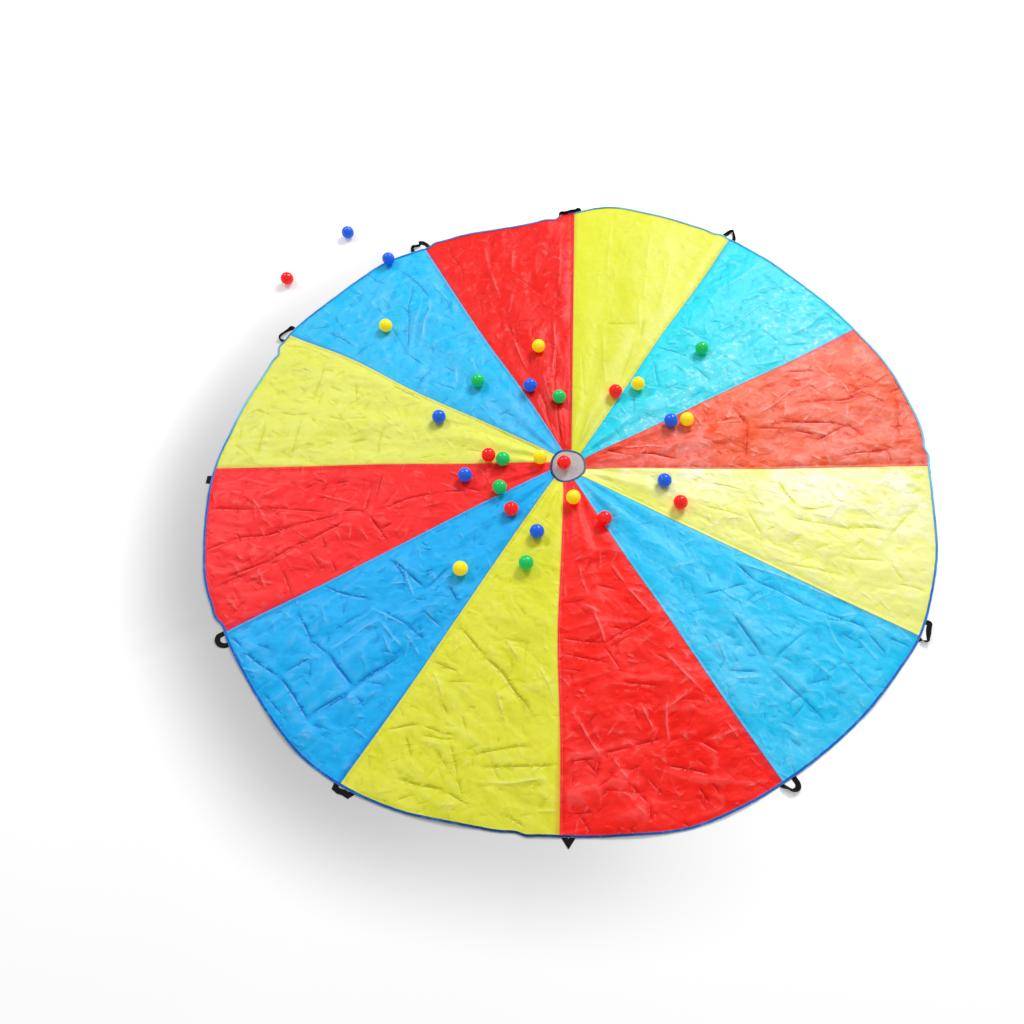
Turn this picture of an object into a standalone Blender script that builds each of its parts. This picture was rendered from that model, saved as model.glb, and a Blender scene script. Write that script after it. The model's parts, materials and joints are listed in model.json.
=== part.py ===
"""Play parachute laid out on the floor with its set of plastic balls.

Twelve cloth gores run from a small netted hole to a taped rim, with a webbing
handle at each seam.  +Z is up, and the origin is on the floor at the middle of
the net.  Hours name directions as on a clock seen from above: 12 is +Y, 3 is +X.
"""
import math

import bmesh
import bpy
from mathutils import Matrix, Vector
from mathutils.bvhtree import BVHTree

# Canopy, in metres
CANOPY_RADIUS = 1.5
HOLE_RADIUS = 0.070
CLOTH_THICKNESS = 0.0008
CLEARANCE = 0.0004

# Lapped seams: each gore steps up and lies over the edge of the next one
SEAM_LAP = 0.010
SEAM_STEP = 0.002

# Folds of the cloth, and how deep their undersides are cut flat where they rest
FOLD_HEIGHT = 0.014
REST_CUT = 0.0005

# Fold height over the open cloth, what is added where the cloth gathers round the
# hole, how soon that dies out, and how soon the folds rise from the hole
FOLD_OPEN_SHARE = 0.35
FOLD_GATHERED_SHARE = 0.45
FOLD_FADE_SHARE = 0.20
FOLD_RISE_SHARE = 0.08

# Tape folded over the rim, and the flat tape round the hole
RIM_TAPE_WIDTH = 0.012
RIM_TAPE_WALL = 0.0006
RIM_TAPE_BACK = 0.0012
HEM_MARGIN = 0.002
HOLE_TAPE_WIDTH = 0.010
HOLE_TAPE_THICKNESS = 0.0022

# Net over the hole
NET_THICKNESS = 0.0008
NET_STRAND = 0.002
NET_PITCH = 0.010
NET_BORDER = 0.003

# Webbing handles
STRAP_WIDTH = 0.020
STRAP_THICKNESS = 0.0016

# Balls
BALL_RADIUS = 0.030

# One overrun serves every cut
OVERRUN = 0.002

# Counts
GORE_COUNT = 12
BODY_ROWS = 9
FOLD_COLUMNS = 6
FOLDS_PER_GORE = 2
HOLE_STATIONS = 36
STRAP_STEPS = 4
BALL_SEGMENTS = 12
BALL_RINGS = 7
SPREAD_ROUNDS = 20
LOWERING_STEPS = 60
HALVINGS = 10

# How much closer the rows of a gore lie near the hole, as an exponent
ROW_CROWDING = 1.2

# Least cosine of half a fold at which the strap's corner is still drawn out to a point
LEAST_MITRE_SHARE = 0.5

# Radius of the rim at each seam and a quarter, half and three quarters of the way to the next
RIM_RADIUS_SHARES = (
    (1.014, 1.055, 1.046, 1.041),
    (1.036, 1.022, 1.011, 1.006),
    (1.006, 1.012, 1.012, 1.012),
    (1.000, 0.995, 1.004, 1.008),
    (1.014, 1.005, 1.002, 1.000),
    (1.002, 1.008, 1.012, 1.000),
    (0.995, 0.996, 1.001, 1.017),
    (1.028, 1.031, 1.019, 1.010),
    (1.008, 1.016, 1.008, 1.000),
    (0.994, 0.979, 0.972, 0.973),
    (0.988, 0.978, 0.981, 0.986),
    (0.978, 0.980, 0.969, 0.979),
)

# Radius of the hole's tape towards each hour: the hole is drawn a little out of round
HOLE_RADIUS_SHARES = (
    (0.98,), (0.91,), (0.82,), (0.79,), (0.82,), (0.85,),
    (0.96,), (1.14,), (1.15,), (1.10,), (1.12,), (1.12,),
)

# How far each seam leans off its hour, at the rim and at the hole, as shares of an hour
SEAM_LEAN_SHARES = (
    (0.01, -0.18), (0.00, -0.13), (-0.01, -0.38), (-0.01, 0.15),
    (0.00, 0.36), (0.015, 0.39), (0.04, 0.48), (0.03, 0.42),
    (-0.01, 0.33), (-0.03, 0.15), (-0.045, 0.08), (0.01, -0.04),
)

# How far each seam bows clockwise a quarter, half and three quarters of the way out, as
# shares of the canopy's radius
SEAM_BOW_SHARES = (
    (0.000, 0.000, 0.000), (-0.001, -0.004, 0.002), (0.003, 0.002, 0.005),
    (0.003, 0.006, 0.002), (0.002, 0.001, 0.002), (0.003, 0.001, 0.003),
    (0.005, 0.011, 0.002), (0.001, -0.001, -0.003), (0.002, 0.000, -0.002),
    (0.000, 0.003, 0.000), (0.002, 0.000, 0.012), (0.002, -0.005, -0.004),
)

# Where the waves of each gore's folds start, and how far they swing on the way out
FOLD_START_SHARES = (0.10, 0.35, 0.20, 0.40, 0.15, 0.30, 0.05, 0.25, 0.45, 0.10, 0.30, 0.20)
FOLD_SWING_SHARES = (0.30, -0.45, 0.55, -0.35, 0.50, -0.25, 0.40, -0.55, 0.35, 0.60, -0.30, 0.45)

# Handles by hour: the points that the middle of the strap runs through beside the rim,
# clockwise and outwards from the seam in strap widths, each with how far the strap
# stands up there: 0 lies flat and 1 stands on its edge.  A handle that runs inwards
# is tucked in under the hem.
HANDLE_SHARES = {
    1: (
        (-1.15, 0.00, 0.0), (-1.10, 0.35, 0.1), (-0.75, 1.10, 0.4), (-0.35, 2.10, 1.0),
        (0.00, 2.35, 1.0), (0.45, 1.70, 0.8), (1.10, 0.80, 0.6), (1.45, 0.25, 0.3),
        (1.50, 0.00, 0.0),
    ),
    2: (
        (-1.45, 0.00, 0.0), (-1.40, -0.90, 0.0), (-1.00, -1.70, 0.0), (0.00, -2.10, 0.0),
        (1.00, -1.70, 0.0), (1.40, -0.90, 0.0), (1.45, 0.00, 0.0),
    ),
    3: (
        (-1.45, 0.00, 0.0), (-1.40, -0.90, 0.0), (-1.00, -1.70, 0.0), (0.00, -2.10, 0.0),
        (1.00, -1.70, 0.0), (1.40, -0.90, 0.0), (1.45, 0.00, 0.0),
    ),
    4: (
        (-2.90, 0.00, 0.0), (-2.72, 0.58, 0.3), (-1.60, 0.78, 0.3), (-0.60, 1.02, 0.5),
        (0.35, 1.25, 0.8), (1.00, 1.40, 0.9), (1.15, 0.85, 0.9), (1.15, 0.32, 0.5),
        (1.15, 0.00, 0.0),
    ),
    5: (
        (-1.00, 0.00, 0.0), (-1.00, 0.50, 0.0), (-0.95, 1.20, 0.0), (-0.55, 1.75, 0.1),
        (0.10, 1.85, 0.35), (0.70, 1.55, 0.5), (1.05, 0.90, 0.5), (1.50, 0.25, 0.3),
        (1.55, 0.00, 0.0),
    ),
    6: ((-0.26, 0.00, 0.0), (0.54, 0.96, 0.0), (1.34, 0.00, 0.0)),
    7: (
        (-1.15, 0.00, 0.0), (-0.60, 0.64, 0.0), (0.30, 0.56, 0.0), (1.30, 0.74, 0.0),
        (2.15, 0.58, 0.0), (2.30, 0.00, 0.0),
    ),
    8: (
        (-2.55, 0.00, 0.0), (-2.50, 0.40, 0.0), (-2.15, 1.00, 0.0), (-1.50, 1.40, 0.05),
        (-0.70, 1.40, 0.1), (-0.10, 0.95, 0.1), (0.00, 0.45, 0.0), (0.00, 0.00, 0.0),
    ),
    9: ((-3.97, 0.00, 0.0), (-3.90, 0.52, 0.0), (-3.00, 0.52, 0.0), (-2.93, 0.00, 0.0)),
    10: (
        (-3.30, 0.00, 0.0), (-3.35, 0.45, 0.3), (-3.10, 1.05, 0.8), (-2.40, 1.30, 1.1),
        (-1.30, 1.00, 1.15), (-0.30, 0.60, 1.0), (0.50, 0.35, 0.6), (0.70, 0.00, 0.0),
    ),
    11: (
        (-2.05, 0.00, 0.0), (-1.98, 0.50, 0.2), (-1.75, 1.00, 0.7), (-1.20, 1.20, 1.1),
        (-0.50, 0.95, 1.15), (0.00, 0.90, 1.0), (0.30, 1.40, 0.7), (0.80, 1.70, 0.3),
        (1.35, 1.40, 0.1), (1.75, 0.70, 0.0), (1.85, 0.00, 0.0),
    ),
    12: (
        (-2.70, 0.00, 0.0), (-2.50, 0.32, 0.6), (-1.50, 0.20, 1.0), (-0.10, 0.30, 1.0),
        (1.20, 0.22, 1.0), (2.10, 0.32, 0.6), (2.35, 0.00, 0.0),
    ),
}

# Handles that are pressed flat, with the strap folded sharply at each of its points
CREASED_HANDLES = (6, 7, 9)

# Colour, hour and distance from the middle of each ball
BALL_PLACE_SHARES = (
    ("blue", 10.70, 1.163), ("red", 10.26, 1.137), ("blue", 10.77, 0.975),
    ("yellow", 10.38, 0.754), ("green", 10.54, 0.395), ("blue", 9.74, 0.408),
    ("yellow", 11.56, 0.427), ("blue", 11.20, 0.293), ("green", 11.71, 0.228),
    ("red", 0.92, 0.279), ("yellow", 1.19, 0.336), ("green", 1.46, 0.568),
    ("blue", 2.12, 0.318), ("yellow", 2.21, 0.361), ("red", 9.18, 0.231),
    ("green", 9.10, 0.190), ("yellow", 9.33, 0.087), ("red", 8.81, 0.020),
    ("blue", 8.72, 0.295), ("green", 8.24, 0.212), ("yellow", 5.90, 0.117),
    ("red", 7.56, 0.221), ("red", 5.12, 0.202), ("blue", 3.45, 0.263),
    ("red", 3.80, 0.323), ("blue", 6.74, 0.240), ("green", 6.68, 0.336),
    ("yellow", 7.36, 0.439),
)

GORE_COLOURS = ("yellow", "blue", "red")

# Seams where the rim bends in and one length of its tape ends at the next
RIM_TAPE_JOINS = (0, 6, 11)

# Colour, roughness and metallic value of each finish
FINISHES = {
    "yellow_cloth": ((0.82, 0.85, 0.06), 0.38, 0.0),
    "blue_cloth": ((0.03, 0.40, 0.85), 0.38, 0.0),
    "red_cloth": ((0.90, 0.03, 0.03), 0.38, 0.0),
    "rim_tape": ((0.02, 0.27, 0.70), 0.60, 0.0),
    "hole_tape": ((0.01, 0.10, 0.35), 0.60, 0.0),
    "net_mesh": ((0.62, 0.58, 0.57), 0.70, 0.0),
    "black_webbing": ((0.012, 0.012, 0.013), 0.75, 0.0),
    "ball_red": ((0.85, 0.01, 0.015), 0.22, 0.0),
    "ball_yellow": ((1.0, 0.62, 0.01), 0.22, 0.0),
    "ball_green": ((0.01, 0.40, 0.11), 0.22, 0.0),
    "ball_blue": ((0.01, 0.10, 0.68), 0.22, 0.0),
}

# Derived sizes
CANOPY_TUCK = STRAP_THICKNESS + CLEARANCE
RIM_TAPE_HEIGHT = 2 * (RIM_TAPE_WALL + CLEARANCE) + CLOTH_THICKNESS
HEM_LIFT = RIM_TAPE_WALL + CLEARANCE
LAP_LIFT = CLOTH_THICKNESS + CLEARANCE
SEAM_FLAT = SEAM_LAP + SEAM_STEP
HOUR = 2 * math.pi / GORE_COUNT
TUCKED_SEAMS = tuple(hour for hour, line in HANDLE_SHARES.items() if min(point[1] for point in line) < 0)


def clear_scene():
    """Remove every object that the file opened with."""
    for thing in list(bpy.data.objects):
        bpy.data.objects.remove(thing, do_unlink=True)


def smooth(share):
    """Ease from 0 to 1 as share goes from 0 to 1, flat at both ends."""
    share = min(max(share, 0.0), 1.0)
    return share * share * (3 - 2 * share)


def curve(a, b, c, d, t):
    """A smooth curve through four even values, read a share t of the way from b to c."""
    return b + t / 2 * (c - a + t * (2 * a - 5 * b + 4 * c - d + t * (3 * (b - c) + d - a)))


def read_round(table, hour):
    """Read a closed table of rows, one row to an hour, on a smooth curve through its values."""
    values = [value for row in table for value in row]
    place = (hour % GORE_COUNT) * len(values) / GORE_COUNT
    first = int(place)
    near = (values[(first + step) % len(values)] for step in (-1, 0, 1, 2))
    return curve(*near, place - first)


def read_along(values, share):
    """Read a row of even values, from share 0 to share 1, on a smooth curve through them."""
    last = len(values) - 1
    first = min(int(share * last), last - 1)
    near = (values[min(max(first + step, 0), last)] for step in (-1, 0, 1, 2))
    return curve(*near, share * last - first)


def rim_radius(hour):
    """Outer radius of the rim's tape towards an hour."""
    return CANOPY_RADIUS * read_round(RIM_RADIUS_SHARES, hour)


def hole_tape_radius(hour):
    """Outer radius of the hole's tape towards an hour."""
    return (HOLE_RADIUS + HOLE_TAPE_WIDTH) * read_round(HOLE_RADIUS_SHARES, hour)


def towards(hour):
    """Unit vector on the floor towards an hour."""
    return Vector((math.sin(hour * HOUR), math.cos(hour * HOUR), 0.0))


def hour_of(point):
    """The hour that a point on the floor lies towards."""
    return math.atan2(point.x, point.y) / HOUR % GORE_COUNT


def seam_hour(seam, along):
    """Hour of a point on a slightly bowed seam, a share of the way from the hole to the rim."""
    rim_lean, hole_lean = SEAM_LEAN_SHARES[seam % GORE_COUNT]
    hole_hour, rim_hour = seam + hole_lean, seam + rim_lean
    inner = towards(hole_hour) * hole_tape_radius(hole_hour)
    outer = towards(rim_hour) * rim_radius(rim_hour)
    bow = read_along((0.0, *SEAM_BOW_SHARES[seam % GORE_COUNT], 0.0), along)
    aside = Vector((outer.y - inner.y, inner.x - outer.x, 0.0)).normalized()
    hour = hour_of(inner.lerp(outer, along) + aside * (bow * CANOPY_RADIUS))
    turns = round((seam - hour) / GORE_COUNT)
    return hour + turns * GORE_COUNT


def cloth_radius(hour, along):
    """Radius on the cloth: along is 0 at the hole's tape and 1 at the inside of the rim's tape."""
    inner = hole_tape_radius(hour) + CLEARANCE
    outer = rim_radius(hour) - RIM_TAPE_WIDTH - HEM_MARGIN
    return inner + (outer - inner) * along


def fold_height(gore, across, along):
    """Height of a gore's folds: across is 0 to 1 between its seams, along 0 to 1 from the hole.

    Waves run out from the hole and swing to one side.  They are tall where the
    cloth gathers round the hole and lower outside it, and die out at the seams,
    which lie flat.
    """
    waves = FOLDS_PER_GORE * across + FOLD_START_SHARES[gore] + FOLD_SWING_SHARES[gore] * along
    wave = 0.5 - 0.5 * math.cos(2 * math.pi * waves)
    between_seams = math.sqrt(max(math.sin(math.pi * across), 0.0))
    tallness = FOLD_OPEN_SHARE + FOLD_GATHERED_SHARE * math.exp(-along / FOLD_FADE_SHARE)
    height = FOLD_HEIGHT * smooth(along / FOLD_RISE_SHARE) * tallness * wave * between_seams
    return max(height - REST_CUT, 0.0)


def tuck_lift(gore, across):
    """How far the hem is raised where a handle is tucked under it at either seam."""
    start, end = gore % GORE_COUNT, (gore + 1) % GORE_COUNT
    reach = 1 / (FOLD_COLUMNS + 1)
    at_start = start in TUCKED_SEAMS and across <= reach
    at_end = end in TUCKED_SEAMS and across >= 1 - reach
    return CANOPY_TUCK if at_start or at_end else 0.0


def hem_height(gore, across):
    """Height of the underside of the rim's tape."""
    return fold_height(gore, across, 1.0) + tuck_lift(gore, across)


def gore_hours(gore, along, radius):
    """Hours of a gore's columns at one radius, each with its share across and its lift on a lap."""
    start, end = seam_hour(gore, along), seam_hour(gore + 1, along)
    per_metre = 1 / (radius * HOUR)
    first = start + SEAM_FLAT * per_metre
    last = end - (SEAM_STEP + CLEARANCE / 2) * per_metre
    columns = [(start + CLEARANCE / 2 * per_metre, 0.0, 0.0), (first, 0.0, 0.0)]
    for column in range(1, FOLD_COLUMNS + 1):
        across = column / (FOLD_COLUMNS + 1)
        columns.append((first + (last - first) * across, across, 0.0))
    columns.append((last, 1.0, 0.0))
    columns.append((end - CLEARANCE / 2 * per_metre, 1.0, LAP_LIFT))
    columns.append((end + SEAM_LAP * per_metre, 1.0, LAP_LIFT))
    return columns


def gore_rows(gore):
    """Rows of points over the underside of a gore, from the hole out to the rim.

    The last row lies inside the fold of the rim's tape and has no lap.
    """
    rows = []
    for row in range(BODY_ROWS + 1):
        along = (row / BODY_ROWS) ** ROW_CROWDING
        middle = cloth_radius(gore + 0.5, along)
        points = []
        for hour, across, lift in gore_hours(gore, along, middle):
            height = fold_height(gore, across, along)
            if row == BODY_ROWS:
                height = hem_height(gore, across) + HEM_LIFT
            spot = towards(hour) * cloth_radius(hour, along)
            points.append(Vector((spot.x, spot.y, height + lift)))
        rows.append(points)
    edge = []
    for hour, across, lift in gore_hours(gore, 1.0, rim_radius(gore + 0.5)):
        if lift == 0.0:
            spot = towards(hour) * (rim_radius(hour) - RIM_TAPE_BACK - CLEARANCE)
            edge.append(Vector((spot.x, spot.y, hem_height(gore, across) + HEM_LIFT)))
    rows.append(edge)
    return rows


def finish(name):
    """The named material, made once, with its colour, roughness and metallic value."""
    material = bpy.data.materials.get(name)
    if material is None:
        colour, roughness, metallic = FINISHES[name]
        material = bpy.data.materials.new(name)
        material.use_nodes = True
        shader = material.node_tree.nodes["Principled BSDF"]
        shader.inputs["Base Color"].default_value = (*colour, 1.0)
        shader.inputs["Roughness"].default_value = roughness
        shader.inputs["Metallic"].default_value = metallic
    return material


def add_object(name, mesh_data, finish_name, place=None):
    """Put a finished bmesh into a new object at its place, and free the bmesh."""
    bmesh.ops.recalc_face_normals(mesh_data, faces=mesh_data.faces)
    mesh = bpy.data.meshes.new(name)
    mesh_data.to_mesh(mesh)
    mesh_data.free()
    thing = bpy.data.objects.new(name, mesh)
    thing.matrix_world = place or Matrix.Identity(4)
    bpy.context.scene.collection.objects.link(thing)
    mesh.materials.append(finish(finish_name))
    return thing


def make_gore(gore):
    """One gore: its underside is a sheet of triangles, raised by the cloth's thickness."""
    cloth = bmesh.new()
    rows = [[cloth.verts.new(point) for point in row] for row in gore_rows(gore)]
    for inner, outer in zip(rows, rows[1:]):
        for column in range(min(len(inner), len(outer)) - 1):
            corner, across, far, along = (
                inner[column], inner[column + 1], outer[column + 1], outer[column],
            )
            cloth.faces.new((corner, across, far))
            cloth.faces.new((corner, far, along))
    raised = bmesh.ops.extrude_face_region(cloth, geom=cloth.faces[:], use_keep_orig=True)
    upper = [item for item in raised["geom"] if isinstance(item, bmesh.types.BMVert)]
    bmesh.ops.translate(cloth, verts=upper, vec=(0.0, 0.0, CLOTH_THICKNESS))
    colour = GORE_COLOURS[gore % len(GORE_COLOURS)]
    hour = gore or GORE_COUNT
    return add_object(f"gore_{hour:02d}_{colour}", cloth, f"{colour}_cloth")


def sweep(sections, closed):
    """A closed solid through a row of sections, joined end to end in a ring or capped."""
    solid = bmesh.new()
    loops = [[solid.verts.new(point) for point in section] for section in sections]
    pairs = list(zip(loops, loops[1:]))
    if closed:
        pairs.append((loops[-1], loops[0]))
    count = len(loops[0])
    for here, there in pairs:
        for corner in range(count):
            after = (corner + 1) % count
            solid.faces.new((here[corner], here[after], there[after]))
            solid.faces.new((here[corner], there[after], there[corner]))
    if not closed:
        solid.faces.new(reversed(loops[0]))
        solid.faces.new(loops[-1])
    return solid


def rim_stations():
    """Hour and underside height at each station of the rim's tape, on the gores' own columns."""
    stations = []
    for gore in range(GORE_COUNT):
        columns = gore_hours(gore, 1.0, rim_radius(gore + 0.5))
        stations.append((seam_hour(gore, 1.0), hem_height(gore, 0.0)))
        for hour, across, lift in columns[1:FOLD_COLUMNS + 2]:
            stations.append((hour, hem_height(gore, across)))
    return stations


def make_rim_tape(start, end):
    """Tape folded over the gores' edges from one join to the next.

    Its U section is open to the cloth, and its ends stop just short of the joins.
    """
    top = RIM_TAPE_HEIGHT
    wall = RIM_TAPE_WALL
    profile = (
        (0.0, top / 2), (-wall / 2, 0.0), (-RIM_TAPE_WIDTH, 0.0), (-RIM_TAPE_WIDTH, wall),
        (-RIM_TAPE_BACK, wall), (-RIM_TAPE_BACK, top - wall), (-RIM_TAPE_WIDTH, top - wall),
        (-RIM_TAPE_WIDTH, top), (-wall / 2, top),
    )
    stations = rim_stations()
    per_gore = len(stations) // GORE_COUNT
    last = (end or GORE_COUNT) * per_gore
    run = [stations[place % len(stations)] for place in range(start * per_gore, last + 1)]
    short = CLEARANCE / 2 / (rim_radius(start) * HOUR)
    run[0] = (run[0][0] + short, run[0][1])
    run[-1] = (run[-1][0] - short, run[-1][1])
    sections = []
    for hour, height in run:
        sections.append([
            towards(hour) * (rim_radius(hour) + out) + Vector((0.0, 0.0, height + up))
            for out, up in profile
        ])
    name = f"rim_binding_{start or GORE_COUNT:02d}"
    return add_object(name, sweep(sections, closed=False), "rim_tape")


def make_hole_tape():
    """Flat tape round the hole, rounded over its top, with the net inside and the gores outside."""
    width, top = HOLE_TAPE_WIDTH, HOLE_TAPE_THICKNESS
    profile = (
        (0.0, 0.0), (-width, 0.0), (-width, top / 2), (-width * 3 / 4, top),
        (-width / 4, top), (0.0, top / 2),
    )
    sections = []
    for station in range(HOLE_STATIONS):
        hour = station * GORE_COUNT / HOLE_STATIONS
        sections.append([
            towards(hour) * (hole_tape_radius(hour) + out) + Vector((0.0, 0.0, up))
            for out, up in profile
        ])
    return add_object("hole_binding", sweep(sections, closed=True), "hole_tape")


def net_radius(hour):
    """Radius of the net, inside the hole's tape."""
    return hole_tape_radius(hour) - HOLE_TAPE_WIDTH - CLEARANCE


def gap_centres():
    """Centres of the net's gaps: a square lattice with a crossing of strands at the origin."""
    reach = int((HOLE_RADIUS + HOLE_TAPE_WIDTH) / NET_PITCH) + 2
    half = (NET_PITCH - NET_STRAND) / 2
    centres = []
    for row in range(-reach, reach):
        for column in range(-reach, reach):
            centre = Vector(((column + 0.5) * NET_PITCH, (row + 0.5) * NET_PITCH, 0.0))
            corners = [centre + Vector((x * half, y * half, 0.0)) for x in (-1, 1) for y in (-1, 1)]
            if all(c.length < net_radius(hour_of(c)) - NET_BORDER for c in corners):
                centres.append(centre)
    return centres


def make_net():
    """The net: a thin plate to the hole's outline with its gaps cut through."""
    plate = bmesh.new()
    hours = [station * GORE_COUNT / HOLE_STATIONS for station in range(HOLE_STATIONS)]
    outline = plate.faces.new([plate.verts.new(towards(hour) * net_radius(hour)) for hour in hours])
    raised = bmesh.ops.extrude_face_region(plate, geom=[outline], use_keep_orig=True)
    upper = [item for item in raised["geom"] if isinstance(item, bmesh.types.BMVert)]
    bmesh.ops.translate(plate, verts=upper, vec=(0.0, 0.0, NET_THICKNESS))
    net = add_object("centre_net", plate, "net_mesh")

    gaps = bmesh.new()
    side = NET_PITCH - NET_STRAND
    height = NET_THICKNESS + 2 * OVERRUN
    for centre in gap_centres():
        place = Matrix.Translation(centre + Vector((0.0, 0.0, NET_THICKNESS / 2)))
        size = Matrix.Diagonal((side, side, height, 1.0))
        bmesh.ops.create_cube(gaps, size=1.0, matrix=place @ size)
    cutter = add_object("net_gap_cutter", gaps, "net_mesh")
    cutter.hide_render = True
    cutter.display_type = "WIRE"
    cut = net.modifiers.new("gaps", "BOOLEAN")
    cut.operation = "DIFFERENCE"
    cut.solver = "EXACT"
    cut.object = cutter
    return net


def rim_line():
    """Hours and points of the corners of the rim tape's outer edge, once round from 12."""
    line = [(hour, towards(hour) * rim_radius(hour)) for hour, height in rim_stations()]
    return line + [(line[0][0] + GORE_COUNT, line[0][1])]


def edge_point(line, hour):
    """Point on the straight-sided outer edge of the rim's tape towards an hour."""
    place = line[0][0] + (hour - line[0][0]) % GORE_COUNT
    for (start, first), (end, last) in zip(line, line[1:]):
        if place <= end:
            return first.lerp(last, (place - start) / (end - start))
    return line[-1][1]


def handle_frame(hour):
    """Where a handle is sewn: its hinge's place and directions, and how far in each end is sewn.

    The hinge line touches the outermost corner of the tape between the strap's
    ends, and each end reaches in from it to the tape beside that end.
    """
    start, end = (HANDLE_SHARES[hour][place][0] * STRAP_WIDTH for place in (0, -1))
    shift = (start + end) / 2
    half = (end - start + STRAP_WIDTH) / 2
    per_metre = 1 / (rim_radius(hour) * HOUR)
    line = rim_line()
    first, last = (edge_point(line, hour + (shift + side * half) * per_metre) for side in (-1, 1))
    clockwise = (last - first).normalized()
    outward = Vector((-clockwise.y, clockwise.x, 0.0))
    middle = (first + last) / 2
    reach = half + 2 * STRAP_THICKNESS
    near = [point for _, point in line if (point - middle).length <= reach] + [first, last]
    furthest = max((point - middle).dot(outward) for point in near)
    sewn = []
    for side in (-1, 1):
        inner = edge_point(line, hour + (shift + side * (half - STRAP_WIDTH)) * per_metre)
        beside = [inner] + [
            point for point in near if side * (point - middle).dot(clockwise) >= half - STRAP_WIDTH
        ]
        sewn.append(max((point - middle).dot(outward) for point in beside) - furthest)
    return middle + outward * furthest, clockwise, outward, sewn


def strap_line(hour):
    """Points of a handle's strap in strap widths, with its stand: its own, or a curve through them."""
    points = HANDLE_SHARES[hour]
    if hour in CREASED_HANDLES:
        return points
    steps = STRAP_STEPS * (len(points) - 1)
    rows = list(zip(*points))
    return [[read_along(row, step / steps) for row in rows] for step in range(steps + 1)]


def strap_sections(hour, sewn):
    """Sections of a handle's strap, in its own frame: x along the rim, y outward, z up.

    The strap is mitred where it turns, and its ends run straight in to the tape.
    """
    line = strap_line(hour)
    shift = (line[0][0] + line[-1][0]) / 2
    centres = [Vector(((x - shift) * STRAP_WIDTH, y * STRAP_WIDTH, 0.0)) for x, y, _ in line]
    centres[0].y += sewn[0]
    centres[-1].y += sewn[1]
    side = -1 if hour in TUCKED_SEAMS else 1
    up = Vector((0.0, 0.0, 1.0))
    sections = []
    for index, (centre, (_, _, stand)) in enumerate(zip(centres, line)):
        ahead = before = Vector((0.0, side, 0.0))
        if index == len(centres) - 1:
            ahead = before = -ahead
        elif index > 0:
            before = (centre - centres[index - 1]).normalized()
            ahead = (before + (centres[index + 1] - centre).normalized()).normalized()
        mitre = 1 / max(ahead.dot(before), LEAST_MITRE_SHARE)
        turn = stand * math.pi / 2
        level = Vector((-ahead.y, ahead.x, 0.0))
        wide = level * math.cos(turn) * mitre + up * math.sin(turn)
        thick = up * math.cos(turn) - level * math.sin(turn)
        rise = (STRAP_WIDTH * math.sin(turn) + STRAP_THICKNESS * abs(math.cos(turn))) / 2
        middle = centre + up * rise
        half_wide, half_thick = wide * STRAP_WIDTH / 2, thick * STRAP_THICKNESS / 2
        sections.append([
            middle - half_wide - half_thick, middle + half_wide - half_thick,
            middle + half_wide + half_thick, middle - half_wide + half_thick,
        ])
    return sections


def make_handle(hour):
    """A webbing loop beside the rim's tape, with its origin on the line that it folds about."""
    hinge, clockwise, outward, sewn = handle_frame(hour)
    up = Vector((0.0, 0.0, 1.0))
    if hour in TUCKED_SEAMS:
        axis_point, start = hinge, Vector((0.0, -RIM_TAPE_BACK, 0.0))
    else:
        level = RIM_TAPE_HEIGHT + CLEARANCE / 2
        axis_point = hinge + outward * (CLEARANCE / 2) + up * level
        start = Vector((0.0, CLEARANCE / 2, -level))
    place = Matrix((clockwise, outward, up)).transposed().to_4x4()
    place.translation = axis_point
    sections = [[point + start for point in section] for section in strap_sections(hour, sewn)]
    name = f"handle_{hour:02d}"
    return add_object(name, sweep(sections, closed=False), "black_webbing", place)


def surface_under_balls(things):
    """One search tree over the cloth, tapes and net, and a floor wide enough for every ball."""
    corners, faces = [], []
    graph = bpy.context.evaluated_depsgraph_get()
    for thing in things:
        mesh = thing.evaluated_get(graph).to_mesh()
        first = len(corners)
        corners += [thing.matrix_world @ vertex.co for vertex in mesh.vertices]
        faces += [[first + index for index in face.vertices] for face in mesh.polygons]
    first = len(corners)
    reach = 2 * CANOPY_RADIUS
    for x, y in ((-reach, -reach), (reach, -reach), (reach, reach), (-reach, reach)):
        corners.append(Vector((x, y, -CLEARANCE)))
    faces.append([first, first + 1, first + 2, first + 3])
    return BVHTree.FromPolygons(corners, faces)


def spread_balls():
    """Places of the balls on the floor, with any two that would meet moved apart."""
    places = [towards(hour) * (share * CANOPY_RADIUS) for _, hour, share in BALL_PLACE_SHARES]
    least = 2 * BALL_RADIUS + CLEARANCE
    for _ in range(SPREAD_ROUNDS):
        for first in range(len(places)):
            for second in range(first + 1, len(places)):
                apart = places[second] - places[first]
                if apart.length < least:
                    push = apart.normalized() * (least - apart.length) / 2
                    places[first] = places[first] - push
                    places[second] = places[second] + push
    return places


def ball_mesh(radius):
    """A ball of flat facets about its own middle."""
    ball = bmesh.new()
    bmesh.ops.create_uvsphere(
        ball, u_segments=BALL_SEGMENTS, v_segments=BALL_RINGS, radius=radius,
    )
    return ball


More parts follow.
